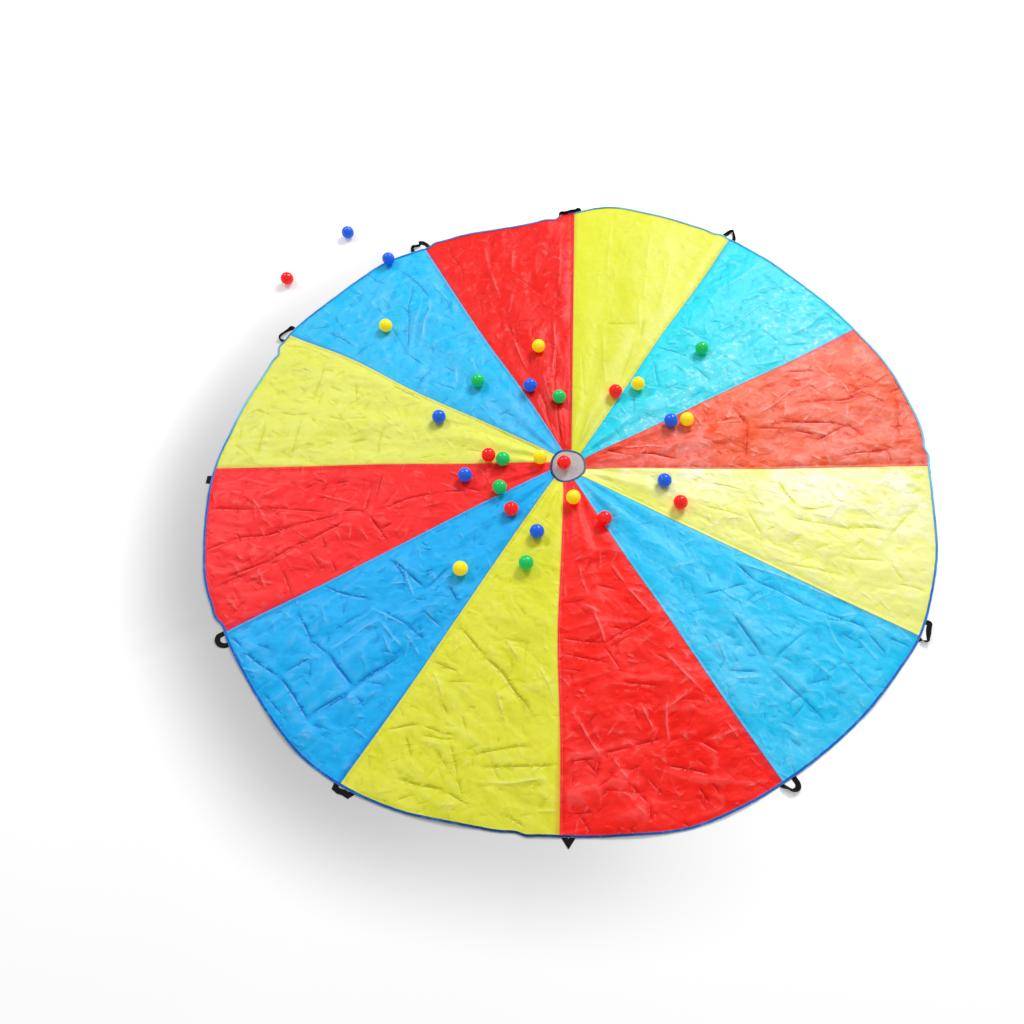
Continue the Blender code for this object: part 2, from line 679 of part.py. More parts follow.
def seat_height(place, surface):
    """Height at which a ball let down over a place first meets what lies under it.

    A true sphere comes down first, and then the ball's own facets, by halves.
    """
    height = 4 * BALL_RADIUS + FOLD_HEIGHT
    for _ in range(LOWERING_STEPS):
        nearest = surface.find_nearest(Vector((place.x, place.y, height)))
        height -= nearest[3] - (BALL_RADIUS + CLEARANCE)
    guard = ball_mesh(BALL_RADIUS + CLEARANCE)
    flat = BALL_RADIUS * (1 - math.cos(math.pi / BALL_RINGS) * math.cos(math.pi / BALL_SEGMENTS))
    low, high = height - flat, height
    bmesh.ops.translate(guard, verts=guard.verts, vec=(place.x, place.y, 0.0))
    for _ in range(HALVINGS):
        middle = (low + high) / 2
        bmesh.ops.translate(guard, verts=guard.verts, vec=(0.0, 0.0, middle))
        if BVHTree.FromBMesh(guard).overlap(surface):
            low = middle
        else:
            high = middle
        bmesh.ops.translate(guard, verts=guard.verts, vec=(0.0, 0.0, -middle))
    guard.free()
    return high


def make_ball(number, colour, place, surface):
    """A ball let down on to the cloth, the net or the floor."""
    spot = Matrix.Translation((place.x, place.y, seat_height(place, surface)))
    name = f"ball_{number:02d}_{colour}"
    thing = add_object(name, ball_mesh(BALL_RADIUS), f"ball_{colour}", spot)
    thing.data.shade_smooth()
    return thing


def main():
    clear_scene()
    laid = [make_gore(gore) for gore in range(GORE_COUNT)]
    for start, end in zip(RIM_TAPE_JOINS, RIM_TAPE_JOINS[1:] + RIM_TAPE_JOINS[:1]):
        laid.append(make_rim_tape(start, end))
    laid += [make_hole_tape(), make_net()]
    for hour in HANDLE_SHARES:
        make_handle(hour)
    bpy.context.view_layer.update()
    surface = surface_under_balls(laid)
    places = spread_balls()
    for number, (shares, place) in enumerate(zip(BALL_PLACE_SHARES, places), start=1):
        make_ball(number, shares[0], place, surface)


main()
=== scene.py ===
"""Looks of the play parachute: crumpled cloth gores, sewn tapes, net, webbing handles and balls.

Lengths are in metres.  Hours name directions as on a clock seen from above: 12 is +Y
and 3 is +X.  On a gore, across runs from 0 to 1 clockwise between its seams, and along
runs from 0 at the tape of the hole to 1 at the tape of the rim.
"""
import json
import math

import bpy
import numpy as np
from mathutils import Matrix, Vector


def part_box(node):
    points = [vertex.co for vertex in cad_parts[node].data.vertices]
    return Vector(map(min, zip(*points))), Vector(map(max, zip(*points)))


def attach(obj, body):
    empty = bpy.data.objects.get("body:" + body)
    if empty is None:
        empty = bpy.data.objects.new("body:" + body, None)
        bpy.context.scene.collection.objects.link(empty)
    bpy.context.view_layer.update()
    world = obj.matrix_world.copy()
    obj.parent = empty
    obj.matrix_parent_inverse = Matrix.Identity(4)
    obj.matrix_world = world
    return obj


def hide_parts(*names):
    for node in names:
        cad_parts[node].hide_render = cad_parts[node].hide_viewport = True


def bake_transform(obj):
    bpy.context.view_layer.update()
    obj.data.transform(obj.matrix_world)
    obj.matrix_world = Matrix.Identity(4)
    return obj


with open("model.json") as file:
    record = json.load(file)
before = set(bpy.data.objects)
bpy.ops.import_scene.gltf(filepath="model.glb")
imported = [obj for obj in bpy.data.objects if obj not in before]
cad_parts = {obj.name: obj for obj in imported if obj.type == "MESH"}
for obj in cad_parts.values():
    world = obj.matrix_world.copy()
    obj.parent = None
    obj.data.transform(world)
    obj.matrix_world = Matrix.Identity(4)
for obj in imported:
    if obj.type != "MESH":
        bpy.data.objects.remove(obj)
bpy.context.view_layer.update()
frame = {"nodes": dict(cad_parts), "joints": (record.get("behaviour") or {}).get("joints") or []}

# Canopy
CANOPY_RADIUS = 1.5
HOLE_RADIUS = 0.070
SHEET_THICKNESS = 0.0003
CLEARANCE = 0.0004
FLOOR_GAP = 0.0003

# Lapped seams
SEAM_LAP = 0.010
SEAM_STEP = 0.002
LAP_LIFT = 0.0006

# Main folds of the cloth
FOLD_HEIGHT = 0.014
REST_CUT = 0.0005
FOLD_OPEN_SHARE = 0.35
FOLD_GATHERED_SHARE = 0.45
FOLD_FADE_SHARE = 0.20
FOLD_RISE_SHARE = 0.08

# Tapes, with how far the rim's wavers in and out and the hole's swells in its pleats
RIM_TAPE_WIDTH = 0.0095
RIM_TAPE_WALL = 0.0006
RIM_TAPE_BACK = 0.0012
RIM_TAPE_HEIGHT = 0.0028
RIM_TAPE_WAVER = 0.0016
HEM_MARGIN = 0.002
HEM_LIFT = 0.0010
HOLE_TAPE_WIDTH = 0.010
HOLE_TAPE_THICKNESS = 0.0022
HOLE_TAPE_PLEAT = 0.0008

# Webbing handles: the strap, how far its ends reach under the tape, how far out it bends, and
# the share of its length over which each end eases to its place at the tape
STRAP_WIDTH = 0.020
STRAP_THICKNESS = 0.0016
STRAP_SEWN = 0.003
BEND_LENGTH = 0.012
LEAST_MITRE_SHARE = 0.5
STRAP_END_SHARE = 0.15

# Net: spacing, width and thickness of its threads, one turn of their twist, and the share of
# the tape's width that the net's edge keeps clear of
NET_PITCH = 0.0032
NET_STRAND = 0.0009
NET_THREAD = 0.00045
NET_TWIST = 0.0012
NET_EDGE_SHARE = 0.75

# Balls
BALL_RADIUS = 0.030
BALL_SEAM = 0.00030
BALL_VENT = 0.0009

# Lift of the cloth off the floor between its seams, how fast it rises from a seam and from the
# rim, and how far inside the hole's tape its rise begins
PANEL_LIFT = 0.0054
SEAM_FADE = 0.024
RIM_FADE = 0.030
HOLE_LEAD = 0.01

# Gathers along the seams
PUCKER_HEIGHT = 0.0016
PUCKER_PITCH = 0.024
PUCKER_REACH = 0.020

# Creases: unit of height and half width, and how far the lines wander
CREASE_UNIT = 0.0007
CREASE_WIDTH = 0.0078
CREASE_WANDER = 0.010
CREASE_WANDER_SIZE = 0.11

# Looks of a crease: how far from its line it keeps its force and where that ends, half width of
# the line itself, width of the turn from its side in painted shade to its side in painted light, the
# height in units that counts as full force, and the direction over the floor that the light comes from
CREASE_HOLD = 0.008
CREASE_REACH = 0.013
CREASE_LINE = 0.0030
CREASE_TURN = 0.0016
FULL_FORCE = 5
LIGHT_SIDE = (0.48, 0.88)

# Loose creases of each gore: number, shortest length, and how much longer the longest is
LOOSE_CREASES = 420
LOOSE_LENGTH = 0.018
LOOSE_SPREAD = 0.070

# Height over the cloth around it that counts as a full fold, and how many points of the grid
# the cloth around it reaches
FULL_FOLD = 0.0016
FOLD_WINDOW = 5

# Sizes and heights of the crumpling from broad to fine, with the flat facets of the finish:
# how many to the metre, coarse and fine, and how steeply they tilt
CRUMPLE_SIZES = (0.24, 0.120, 0.066, 0.036)
CRUMPLE_HEIGHTS = (0.0056, 0.0042, 0.0023, 0.0007)
FACETS_PER_METRE = (7.0, 17.0)
FACET_TILT = 0.075

# Counts
GORE_COUNT = 12
PANEL_COLUMNS = 120
PANEL_ROWS = 252
ROW_CROWDING = 1.1
FOLDS_PER_GORE = 2
TAPE_STATIONS = 1440
HOLE_STATIONS = 720
STRAP_STATIONS = 121
CREASE_STEPS = 12
STRAP_SIDES = 16
BALL_COLUMNS = 48
NOISE_CELLS = 64
FLOOR_COLUMNS = 360
SEED = 12

HOUR = 2 * math.pi / GORE_COUNT

# Radius of the rim at each seam and a quarter, half and three quarters of the way to the next
RIM_RADIUS_SHARES = (
    (1.014, 1.055, 1.046, 1.041),
    (1.036, 1.022, 1.011, 1.006),
    (1.006, 1.012, 1.012, 1.012),
    (1.000, 0.995, 1.004, 1.008),
    (1.014, 1.005, 1.002, 1.000),
    (1.002, 1.008, 1.012, 1.000),
    (0.995, 0.996, 1.001, 1.017),
    (1.028, 1.031, 1.019, 1.010),
    (1.008, 1.016, 1.008, 1.000),
    (0.994, 0.979, 0.972, 0.973),
    (0.988, 0.978, 0.981, 0.986),
    (0.978, 0.980, 0.969, 0.979),
)

# Radius of the hole's tape towards each hour: the hole is a little out of round
HOLE_RADIUS_SHARES = (
    (0.98,), (0.91,), (0.82,), (0.79,), (0.82,), (0.85,),
    (0.96,), (1.14,), (1.15,), (1.10,), (1.12,), (1.12,),
)

# How far each seam leans off its hour, at the rim and at the hole, as shares of an hour
SEAM_LEAN_SHARES = (
    (0.01, -0.18), (0.00, -0.13), (-0.01, -0.38), (-0.01, 0.15),
    (0.00, 0.36), (0.015, 0.39), (0.04, 0.48), (0.03, 0.42),
    (-0.01, 0.33), (-0.03, 0.15), (-0.045, 0.08), (0.01, -0.04),
)

# How far each seam bows clockwise a quarter, half and three quarters of the way out
SEAM_BOW_SHARES = (
    (0.000, 0.000, 0.000), (-0.001, -0.004, 0.002), (0.003, 0.002, 0.005),
    (0.003, 0.006, 0.002), (0.002, 0.001, 0.002), (0.003, 0.001, 0.003),
    (0.005, 0.011, 0.002), (0.001, -0.001, -0.003), (0.002, 0.000, -0.002),
    (0.000, 0.003, 0.000), (0.002, 0.000, 0.012), (0.002, -0.005, -0.004),
)

# Where the waves of each gore's folds start, and how far they swing on the way out
FOLD_START_SHARES = (0.10, 0.35, 0.20, 0.40, 0.15, 0.30, 0.05, 0.25, 0.45, 0.10, 0.30, 0.20)
FOLD_SWING_SHARES = (0.30, -0.45, 0.55, -0.35, 0.50, -0.25, 0.40, -0.55, 0.35, 0.60, -0.30, 0.45)

# Points of a strap tucked under the hem, and of each handle's strap by its hour: clockwise and
# outwards in strap widths, with how far it stands on its edge
TUCKED_SHARES = (
    (-1.45, 0.00, 0.0), (-1.40, -0.90, 0.0), (-1.00, -1.70, 0.0), (0.00, -2.10, 0.0),
    (1.00, -1.70, 0.0), (1.40, -0.90, 0.0), (1.45, 0.00, 0.0),
)
HANDLE_SHARES = {
    1: (
        (-1.15, 0.00, 0.0), (-1.10, 0.35, 0.1), (-0.75, 1.10, 0.4), (-0.35, 2.10, 1.0),
        (0.00, 2.35, 1.0), (0.45, 1.70, 0.8), (1.10, 0.80, 0.6), (1.45, 0.25, 0.3),
        (1.50, 0.00, 0.0),
    ),
    2: TUCKED_SHARES,
    3: TUCKED_SHARES,
    4: (
        (-2.90, 0.00, 0.0), (-2.72, 0.58, 0.3), (-1.60, 0.78, 0.3), (-0.60, 1.02, 0.5),
        (0.35, 1.25, 0.8), (1.00, 1.40, 0.9), (1.15, 0.85, 0.9), (1.15, 0.32, 0.5),
        (1.15, 0.00, 0.0),
    ),
    5: (
        (-1.00, 0.00, 0.0), (-1.00, 0.50, 0.0), (-0.95, 1.20, 0.0), (-0.55, 1.75, 0.1),
        (0.10, 1.85, 0.35), (0.70, 1.55, 0.5), (1.05, 0.90, 0.5), (1.50, 0.25, 0.3),
        (1.55, 0.00, 0.0),
    ),
    6: ((-0.26, 0.00, 0.0), (0.54, 0.96, 0.0), (1.34, 0.00, 0.0)),
    7: (
        (-1.15, 0.00, 0.0), (-0.60, 0.64, 0.0), (0.30, 0.56, 0.0), (1.30, 0.74, 0.0),
        (2.15, 0.58, 0.0), (2.30, 0.00, 0.0),
    ),
    8: (
        (-2.55, 0.00, 0.0), (-2.50, 0.40, 0.0), (-2.15, 1.00, 0.0), (-1.50, 1.40, 0.05),
        (-0.70, 1.40, 0.1), (-0.10, 0.95, 0.1), (0.00, 0.45, 0.0), (0.00, 0.00, 0.0),
    ),
    9: ((-3.97, 0.00, 0.0), (-3.90, 0.52, 0.0), (-3.00, 0.52, 0.0), (-2.93, 0.00, 0.0)),
    10: (
        (-3.30, 0.00, 0.0), (-3.35, 0.45, 0.3), (-3.10, 1.05, 0.8), (-2.40, 1.30, 1.1),
        (-1.30, 1.00, 1.15), (-0.30, 0.60, 1.0), (0.50, 0.35, 0.6), (0.70, 0.00, 0.0),
    ),
    11: (
        (-2.05, 0.00, 0.0), (-1.98, 0.50, 0.2), (-1.75, 1.00, 0.7), (-1.20, 1.20, 1.1),
        (-0.50, 0.95, 1.15), (0.00, 0.90, 1.0), (0.30, 1.40, 0.7), (0.80, 1.70, 0.3),
        (1.35, 1.40, 0.1), (1.75, 0.70, 0.0), (1.85, 0.00, 0.0),
    ),
    12: (
        (-2.70, 0.00, 0.0), (-2.50, 0.32, 0.6), (-1.50, 0.20, 1.0), (-0.10, 0.30, 1.0),
        (1.20, 0.22, 1.0), (2.10, 0.32, 0.6), (2.35, 0.00, 0.0),
    ),
}

# Handles pressed flat, with the strap folded sharply at each point
CREASED_HANDLES = (6, 7, 9)

# Corners of the rim where one gore is sewn further out than the next: hour, step outwards
# in the clockwise direction, and half width in hours
RIM_CORNERS = (
    (11.93, 0.034, 0.05), (11.07, 0.014, 0.05), (2.91, 0.012, 0.05), (6.22, -0.008, 0.05),
    (8.07, 0.012, 0.05), (9.84, 0.016, 0.04), (0.93, 0.010, 0.04),
)

# Colour of each gore, clockwise from 12 o'clock, in 8-bit values; the cyan, coral and pale yellow
# of the gores from 1 to 4 o'clock are partly painted sheen
GORE_COLOURS = (
    ("yellow", (218, 222, 49)), ("blue", (5, 214, 232)), ("red", (237, 78, 5)),
    ("yellow", (237, 239, 128)), ("blue", (9, 199, 248)), ("red", (255, 21, 5)),
    ("yellow", (227, 227, 51)), ("blue", (5, 176, 245)), ("red", (253, 39, 40)),
    ("yellow", (225, 228, 88)), ("blue", (5, 186, 240)), ("red", (234, 16, 5)),
)

# Colours of the other pieces, in 8-bit values: tapes from dark in painted shade to pale in painted
# light, the webbing with its lint and its woven edge, the net's threads and the balls
RIM_TAPE_COLOURS = ((2, 40, 92), (6, 100, 196), (116, 200, 238))
HOLE_TAPE_COLOURS = ((10, 58, 128), (30, 96, 140), (96, 104, 110))
WEBBING_COLOURS = ((7, 7, 9), (34, 34, 38), (22, 22, 25))
NET_COLOURS = ((214, 205, 206), (196, 186, 188))
BALL_COLOURS = {
    "red": (252, 16, 18), "yellow": (255, 222, 8), "green": (4, 190, 92), "blue": (10, 92, 222),
}

WHITE = (1.0, 1.0, 1.0)

# How much of its own colour a ball gives off as a painted glow, which makes it brighter and stands in for
# the light that thin plastic lets through
BALL_PAINTED_GLOW_SHARE = 0.26

# Lamps and the light of the room
ROOM_LEVEL = 0.50
KEY_PLACE = (3.2, 5.8, 6.0)
KEY_SIZE = (3.4, 2.6)
KEY_POWER = 540.0
SIDE_PLACE = (-4.0, 3.6, 5.6)
SIDE_SIZE = (1.4, 1.4)
SIDE_POWER = 120.0

# Painted light and shade on the rim's tape, two values to an hour, from navy in painted shade at -1 to
# pale in painted light at 1
RIM_PAINTED_LIGHT_SHARES = (
    (0.3, 0.6), (0.6, 0.7), (1.0, 0.9), (0.8, 0.4), (0.1, 0.0), (-0.1, -0.3),
    (-0.8, -0.7), (-0.3, -0.3), (-0.1, 0.0), (0.3, 0.8), (0.4, 0.4), (0.2, 0.3),
)

# Shade of the floor beside the rim, two values to an hour, and how far out it reaches
FLOOR_SHADE_SHARES = (
    (0.06, 0.02), (0.00, 0.00), (0.00, 0.00), (0.00, 0.00), (0.00, 0.00), (0.00, 0.10),
    (0.29, 0.35), (0.44, 0.47), (0.48, 0.48), (0.44, 0.38), (0.29, 0.24), (0.19, 0.12),
)
FLOOR_SHADE_REACH = 0.43

# The floor: its reach beyond the rim, its shade where it is seen and where it only lights the
# object, its glow where it is seen, and the distance from which that glow grows, and by how
# many times, so that it stays pale far out
FLOOR_SIZE = 14.0
FLOOR_SEEN = (0.88, 0.88, 0.885)
FLOOR_UNSEEN = (0.75, 0.75, 0.755)
FLOOR_GLOW = (0.21, 0.21, 0.21)
FLOOR_NEAR = 4.0
FLOOR_FAR_GLOW = 4.0

# Rings of the floor's points, by their distance beyond the rim: the inner ones, the first, last
# and number of those in the shade, and the outer ones
FLOOR_INNER_RINGS = (-1.3, -0.2)
FLOOR_SHADE_RINGS = (-0.02, 0.4, 43)
FLOOR_OUTER_RINGS = (0.8, 2.0, FLOOR_SIZE)

# Colour of a band beside the first seam of each gore, where the lap of the gore before it lies over it
SEAM_COLOURS = (
    (205, 190, 60), (40, 170, 215), (236, 60, 112), (240, 205, 110), (36, 150, 190), (214, 40, 66),
    (214, 170, 40), (0, 112, 214), (216, 40, 92), (216, 180, 52), (30, 136, 214), (214, 36, 66),
)

# How much paler the shining facets of each gore are: a painted sheen
GLARE_SHARES = (0.07, 0.09, 0.18, 0.42, 0.06, 0.02, 0.04, 0.02, 0.01, 0.08, 0.07, 0.015)

# Where that shine lies on each gore, from -1 at its start seam to 1 at its far one
GLARE_LEANS = (0.8, 0.9, 0.0, -0.8, 0.3, 0.3, 0.0, 0.0, 0.0, 0.0, 0.0, 0.0)

# How bright the small painted glints of each gore are
GLINT_SHARES = (0.05, 0.42, 0.14, 0.00, 0.10, 0.00, 0.00, 0.00, 0.00, 0.00, 0.04, 0.00)

# Crumpling of each gore: strength, direction of its folds in turns, and how drawn out they are
CRUMPLE_SHARES = (
    (0.45, 0.25, 2.2), (0.95, 0.10, 1.8), (1.15, 0.05, 1.7), (0.90, 0.45, 1.8),
    (1.00, 0.40, 1.9), (1.25, 0.02, 2.1), (0.90, 0.38, 2.0), (1.10, 0.10, 1.7),
    (1.10, 0.48, 2.2), (0.80, 0.00, 1.6), (0.90, 0.22, 1.9), (0.90, 0.24, 2.1),
)

# Enlarged views of the photograph in which its creases were read: left, top and enlargement
UPPER_LEFT = (200, 200, 5.807)
UPPER_MIDDLE = (430, 200, 5.807)
UPPER_RIGHT = (690, 200, 5.807)
LEFT = (200, 460, 5.807)
LOWER_LEFT = (330, 560, 5.407)
LOWER_MIDDLE = (550, 560, 5.6)
RIGHT = (700, 440, 4.48)

# The camera that took the photograph, and its frame in pixels
CAMERA_PLACE = (-0.009, -2.084, 3.160)
CAMERA_ELEVATION = 59.52
LENS = 0.03173
SENSOR = 0.036
FRAME_PIXELS = 1024
AXIS_PIXEL = (569, 512)

# Creases by gore and view: height in units (valleys below zero), and the two ends in the view
CREASES = {
    0: ((UPPER_MIDDLE, (
        (2, 1045, 100, 1035, 450), (2, 1275, 200, 1230, 560), (2, 1225, 580, 1215, 780),
        (-3, 1030, 715, 1210, 720), (-3, 1240, 700, 1225, 800), (3, 1010, 790, 1010, 1080),
        (2, 900, 450, 1030, 430), (-2, 1330, 130, 1480, 140), (-2, 1180, 840, 1090, 1080),
        (3, 940, 1240, 880, 1400), (-2, 880, 900, 900, 1150), (2, 1400, 300, 1330, 620),
    )),),
    1: ((UPPER_RIGHT, (
        (3, 430, 350, 170, 540), (4, 530, 560, 130, 780), (4, 770, 670, 570, 800),
        (-3, 430, 440, 560, 540), (-3, 560, 540, 700, 560), (3, 480, 640, 640, 720),
        (-4, 780, 660, 900, 750), (3, 690, 790, 850, 800), (-3, 150, 900, 300, 980),
        (3, 330, 960, 560, 920), (-3, 20, 960, 110, 1050), (-3, 420, 760, 520, 840),
        (2, 200, 840, 340, 830), (-2, 20, 780, 120, 830), (-2, 160, 1060, 170, 1120),
        (3, 350, 1040, 520, 950), (-3, 560, 860, 700, 830), (2, 120, 520, 260, 420),
        (-3, 300, 600, 420, 560),
    )), (UPPER_MIDDLE, (
        (-4, 1300, 850, 1530, 920), (3, 1400, 940, 1500, 1000), (-3, 1180, 1120, 1180, 1250),
        (3, 1100, 1200, 1150, 1290), (-3, 1290, 960, 1330, 1080), (3, 1440, 740, 1540, 800),
    ))),
    2: ((UPPER_RIGHT, (
        (5, 635, 1090, 390, 1250), (4, 715, 1040, 640, 1110), (-4, 540, 1000, 720, 1000),
        (3, 820, 930, 790, 980), (-4, 920, 1125, 1050, 1075), (-4, 1050, 1075, 1170, 1020),
        (-4, 820, 1170, 990, 1135), (-4, 990, 1135, 1130, 1190), (-3, 600, 1200, 820, 1170),
        (-6, 520, 1290, 880, 1300), (-5, 710, 1400, 900, 1310), (-4, 910, 1300, 1020, 1390),
        (4, 905, 1180, 900, 1290), (-4, 1210, 1170, 1215, 1400), (-5, 850, 1495, 1160, 1450),
        (-4, 250, 1220, 330, 1310), (-4, 330, 1310, 320, 1500), (3, 110, 1310, 280, 1290),
        (-3, 380, 1330, 560, 1330), (3, 990, 870, 1040, 950), (3, 540, 1230, 560, 1150),
        (-3, 1180, 1040, 1230, 1130), (4, 600, 1330, 700, 1250),
    )), (UPPER_MIDDLE, (
        (-5, 1010, 1450, 1180, 1490), (-6, 1180, 1480, 1440, 1500), (4, 1100, 1430, 1400, 1450),
    ))),
    3: ((RIGHT, (
        (-5, 360, 190, 430, 310), (-3, 440, 320, 600, 300), (3, 640, 180, 590, 270),
        (-4, 590, 390, 840, 410), (-5, 860, 430, 980, 300), (-4, 400, 360, 600, 390),
        (-5, 210, 330, 280, 430), (-3, 280, 430, 270, 500), (-4, 20, 295, 210, 360),
        (-4, 370, 550, 620, 600), (-4, 630, 520, 850, 560), (-4, 850, 560, 900, 640),
        (-5, 870, 650, 1020, 690), (-3, 920, 160, 1000, 190), (3, 720, 300, 800, 370),
        (4, 660, 240, 560, 380), (3, 300, 480, 420, 520), (-3, 60, 200, 180, 230),
    )),),
    4: ((RIGHT, (
        (-5, 250, 640, 500, 750), (-5, 500, 750, 760, 860), (-5, 160, 560, 250, 640),
        (4, 180, 560, 430, 640), (4, 430, 640, 700, 740), (-5, 130, 770, 290, 970),
        (-5, 320, 1020, 560, 1260), (-4, 320, 980, 480, 850), (-4, 20, 690, 230, 650),
        (-4, 650, 1010, 800, 1150), (3, 540, 770, 660, 990), (-4, 120, 1040, 270, 1030),
        (4, 150, 1070, 280, 1055), (-3, 380, 1180, 480, 1130), (-4, 400, 1250, 470, 1180),
        (3, 470, 960, 600, 1080), (-3, 560, 1050, 640, 1000), (-4, 760, 880, 830, 960),
        (-5, 830, 880, 940, 930), (-3, 600, 1340, 660, 1400), (4, 60, 870, 140, 1030),
        (3, 220, 730, 330, 690), (-3, 480, 1100, 600, 1060), (3, 700, 880, 800, 1000),
    )),),
    5: ((LOWER_MIDDLE, (
        (4, 160, 10, 220, 200), (4, 330, 20, 430, 140), (4, 430, 150, 570, 310),
        (6, 245, 290, 300, 470), (-6, 300, 470, 590, 320), (-4, 320, 500, 480, 430),
        (-4, 300, 500, 390, 630), (6, 500, 800, 590, 950), (5, 655, 770, 670, 1020),
        (4, 660, 820, 790, 730), (5, 640, 530, 830, 720), (5, 830, 720, 900, 800),
        (-3, 80, 240, 200, 220), (-4, 60, 440, 280, 470), (-4, 70, 530, 330, 600),
        (-3, 70, 620, 200, 640), (-4, 380, 680, 620, 700), (6, 145, 880, 270, 1110),
        (-4, 270, 1110, 260, 1210), (-4, 280, 1090, 460, 1060), (-4, 460, 1060, 640, 990),
        (4, 350, 1120, 440, 1230), (-4, 90, 1150, 250, 1120), (-4, 440, 1240, 560, 1370),
        (-4, 560, 1370, 580, 1480), (-3, 280, 1300, 540, 1290), (3, 480, 1370, 560, 1450),
        (-6, 640, 1140, 900, 1210), (-4, 820, 1280, 890, 1370), (-4, 540, 1210, 640, 1330),
        (4, 970, 900, 1070, 1010), (-3, 100, 1440, 280, 1420), (-4, 820, 1000, 960, 1090),
    )),),
    6: ((LOWER_LEFT, (
        (-6, 690, 360, 830, 500), (-8, 830, 500, 1100, 840), (-3, 940, 420, 1100, 460),
        (4, 560, 590, 620, 760), (-4, 610, 780, 650, 830), (-3, 640, 660, 790, 660),
        (-5, 300, 910, 480, 905), (-5, 480, 905, 700, 950), (-4, 490, 960, 690, 970),
        (-4, 560, 1020, 660, 1180), (-4, 640, 980, 690, 1190), (-4, 690, 1190, 720, 1290),
        (-5, 770, 1070, 1100, 1000), (-6, 810, 1130, 1240, 1110), (-4, 400, 950, 440, 1090),
        (-6, 370, 1170, 620, 1250), (-5, 620, 1250, 760, 1340), (-5, 920, 1390, 1060, 1460),
        (-4, 350, 1300, 460, 1260), (-3, 720, 820, 740, 940), (5, 960, 430, 1020, 560),
        (-4, 560, 540, 700, 600), (4, 900, 700, 960, 900), (4, 1130, 560, 1200, 760),
        (4, 840, 1200, 1180, 1190),
    )),),
    7: ((LEFT, (
        (-6, 170, 1030, 250, 1100), (-7, 250, 1100, 470, 1260), (-7, 470, 1260, 640, 1530),
        (-4, 500, 1240, 640, 1160), (4, 750, 1100, 1050, 930), (-6, 740, 1110, 880, 1310),
        (-6, 880, 1320, 1180, 1110), (-6, 640, 1500, 880, 1330), (4, 1060, 1020, 1110, 1130),
        (-7, 690, 740, 1000, 820), (-6, 1090, 580, 1300, 740), (-5, 1300, 740, 1450, 620),
        (-4, 1110, 600, 1190, 700), (5, 1180, 640, 1240, 800), (-3, 840, 950, 940, 900),
        (5, 1020, 880, 1200, 960), (-5, 1180, 940, 1310, 1050), (4, 1190, 1000, 1290, 1140),
        (-4, 370, 1350, 520, 1540), (-6, 580, 900, 640, 1060), (-5, 640, 1060, 740, 1120),
        (3, 720, 860, 740, 960), (-4, 1300, 880, 1410, 980), (-4, 900, 1370, 950, 1440),
        (4, 560, 1180, 700, 1150),
    )), (LOWER_LEFT, (
        (-5, 0, 800, 100, 720), (-5, 130, 690, 400, 490), (-5, 0, 520, 120, 690),
        (4, 260, 330, 400, 480), (-4, 270, 270, 440, 360), (-4, 640, 130, 700, 240),
        (-5, 160, 1100, 280, 900),
    ))),
    8: ((LEFT, (
        (-4, 60, 290, 350, 290), (-4, 350, 290, 780, 310), (-5, 50, 520, 150, 480),
        (-6, 150, 480, 560, 390), (-6, 560, 390, 800, 330), (-6, 150, 690, 400, 590),
        (-6, 400, 590, 640, 470), (-5, 640, 470, 870, 350), (-4, 90, 750, 300, 660),
        (-6, 1000, 150, 960, 310), (-5, 1060, 90, 1020, 220), (-6, 980, 320, 1100, 500),
        (-5, 1030, 280, 1400, 200), (-4, 1400, 200, 1560, 180), (-4, 800, 310, 980, 310),
        (4, 320, 220, 370, 350), (-3, 260, 210, 330, 270), (-4, 470, 640, 530, 800),
        (-3, 440, 500, 430, 590), (3, 880, 380, 860, 460), (-3, 640, 540, 700, 620),
        (4, 700, 200, 900, 260),
    )),),
    9: ((UPPER_LEFT, (
        (-4, 320, 1220, 420, 1260), (-4, 465, 1235, 640, 1255), (-4, 740, 1265, 860, 1275),
        (-3, 860, 1275, 990, 1280), (-3, 800, 1235, 890, 1335), (-3, 730, 960, 640, 1180),
        (-3, 910, 1080, 905, 1190), (-3, 600, 1260, 520, 1500), (-3, 385, 1300, 330, 1480),
        (-2, 510, 1000, 600, 1010), (-3, 480, 840, 640, 880), (-3, 640, 880, 760, 930),
        (-3, 1070, 1330, 1035, 1500), (-2, 1190, 1200, 1300, 1190), (-5, 1100, 1060, 1300, 1180),
        (3, 1150, 1070, 1290, 1150),
    )),),
    10: ((UPPER_LEFT, (
        (-4, 1225, 520, 1215, 900), (3, 1290, 560, 1225, 880), (4, 1330, 570, 1300, 830),
        (-4, 1215, 905, 1300, 975), (-3, 1120, 745, 1210, 900), (2, 1030, 620, 960, 700),
        (3, 1340, 470, 1450, 600), (-4, 1180, 430, 1330, 560), (-3, 640, 760, 760, 740),
        (-4, 760, 770, 880, 860), (-3, 880, 940, 990, 850), (-3, 1260, 1090, 1350, 985),
        (-3, 1350, 1060, 1500, 1110), (3, 1480, 960, 1480, 1080), (-3, 1480, 800, 1568, 770),
        (-3, 960, 430, 1080, 500), (2, 560, 760, 640, 700), (-3, 860, 520, 960, 560),
    )),),
    11: ((UPPER_MIDDLE, (
        (3, 490, 300, 480, 400), (3, 480, 560, 440, 680), (3, 450, 740, 400, 800),
        (-3, 470, 715, 610, 700), (4, 480, 790, 560, 970), (-4, 455, 720, 480, 790),
        (4, 720, 700, 715, 1000), (-4, 735, 900, 725, 1150), (-5, 725, 1150, 770, 1400),
        (3, 755, 230, 750, 520), (-2, 750, 500, 820, 470), (-2, 700, 600, 750, 560),
        (3, 620, 250, 720, 290), (2, 560, 290, 680, 240), (-2, 185, 380, 200, 520),
        (3, 320, 300, 350, 420), (3, 350, 420, 420, 600), (-3, 90, 290, 200, 420),
        (-2, 470, 430, 620, 520), (-5, 640, 1130, 740, 1400), (3, 660, 1000, 700, 1200),
        (-2, 240, 640, 330, 600),
    )),),
}


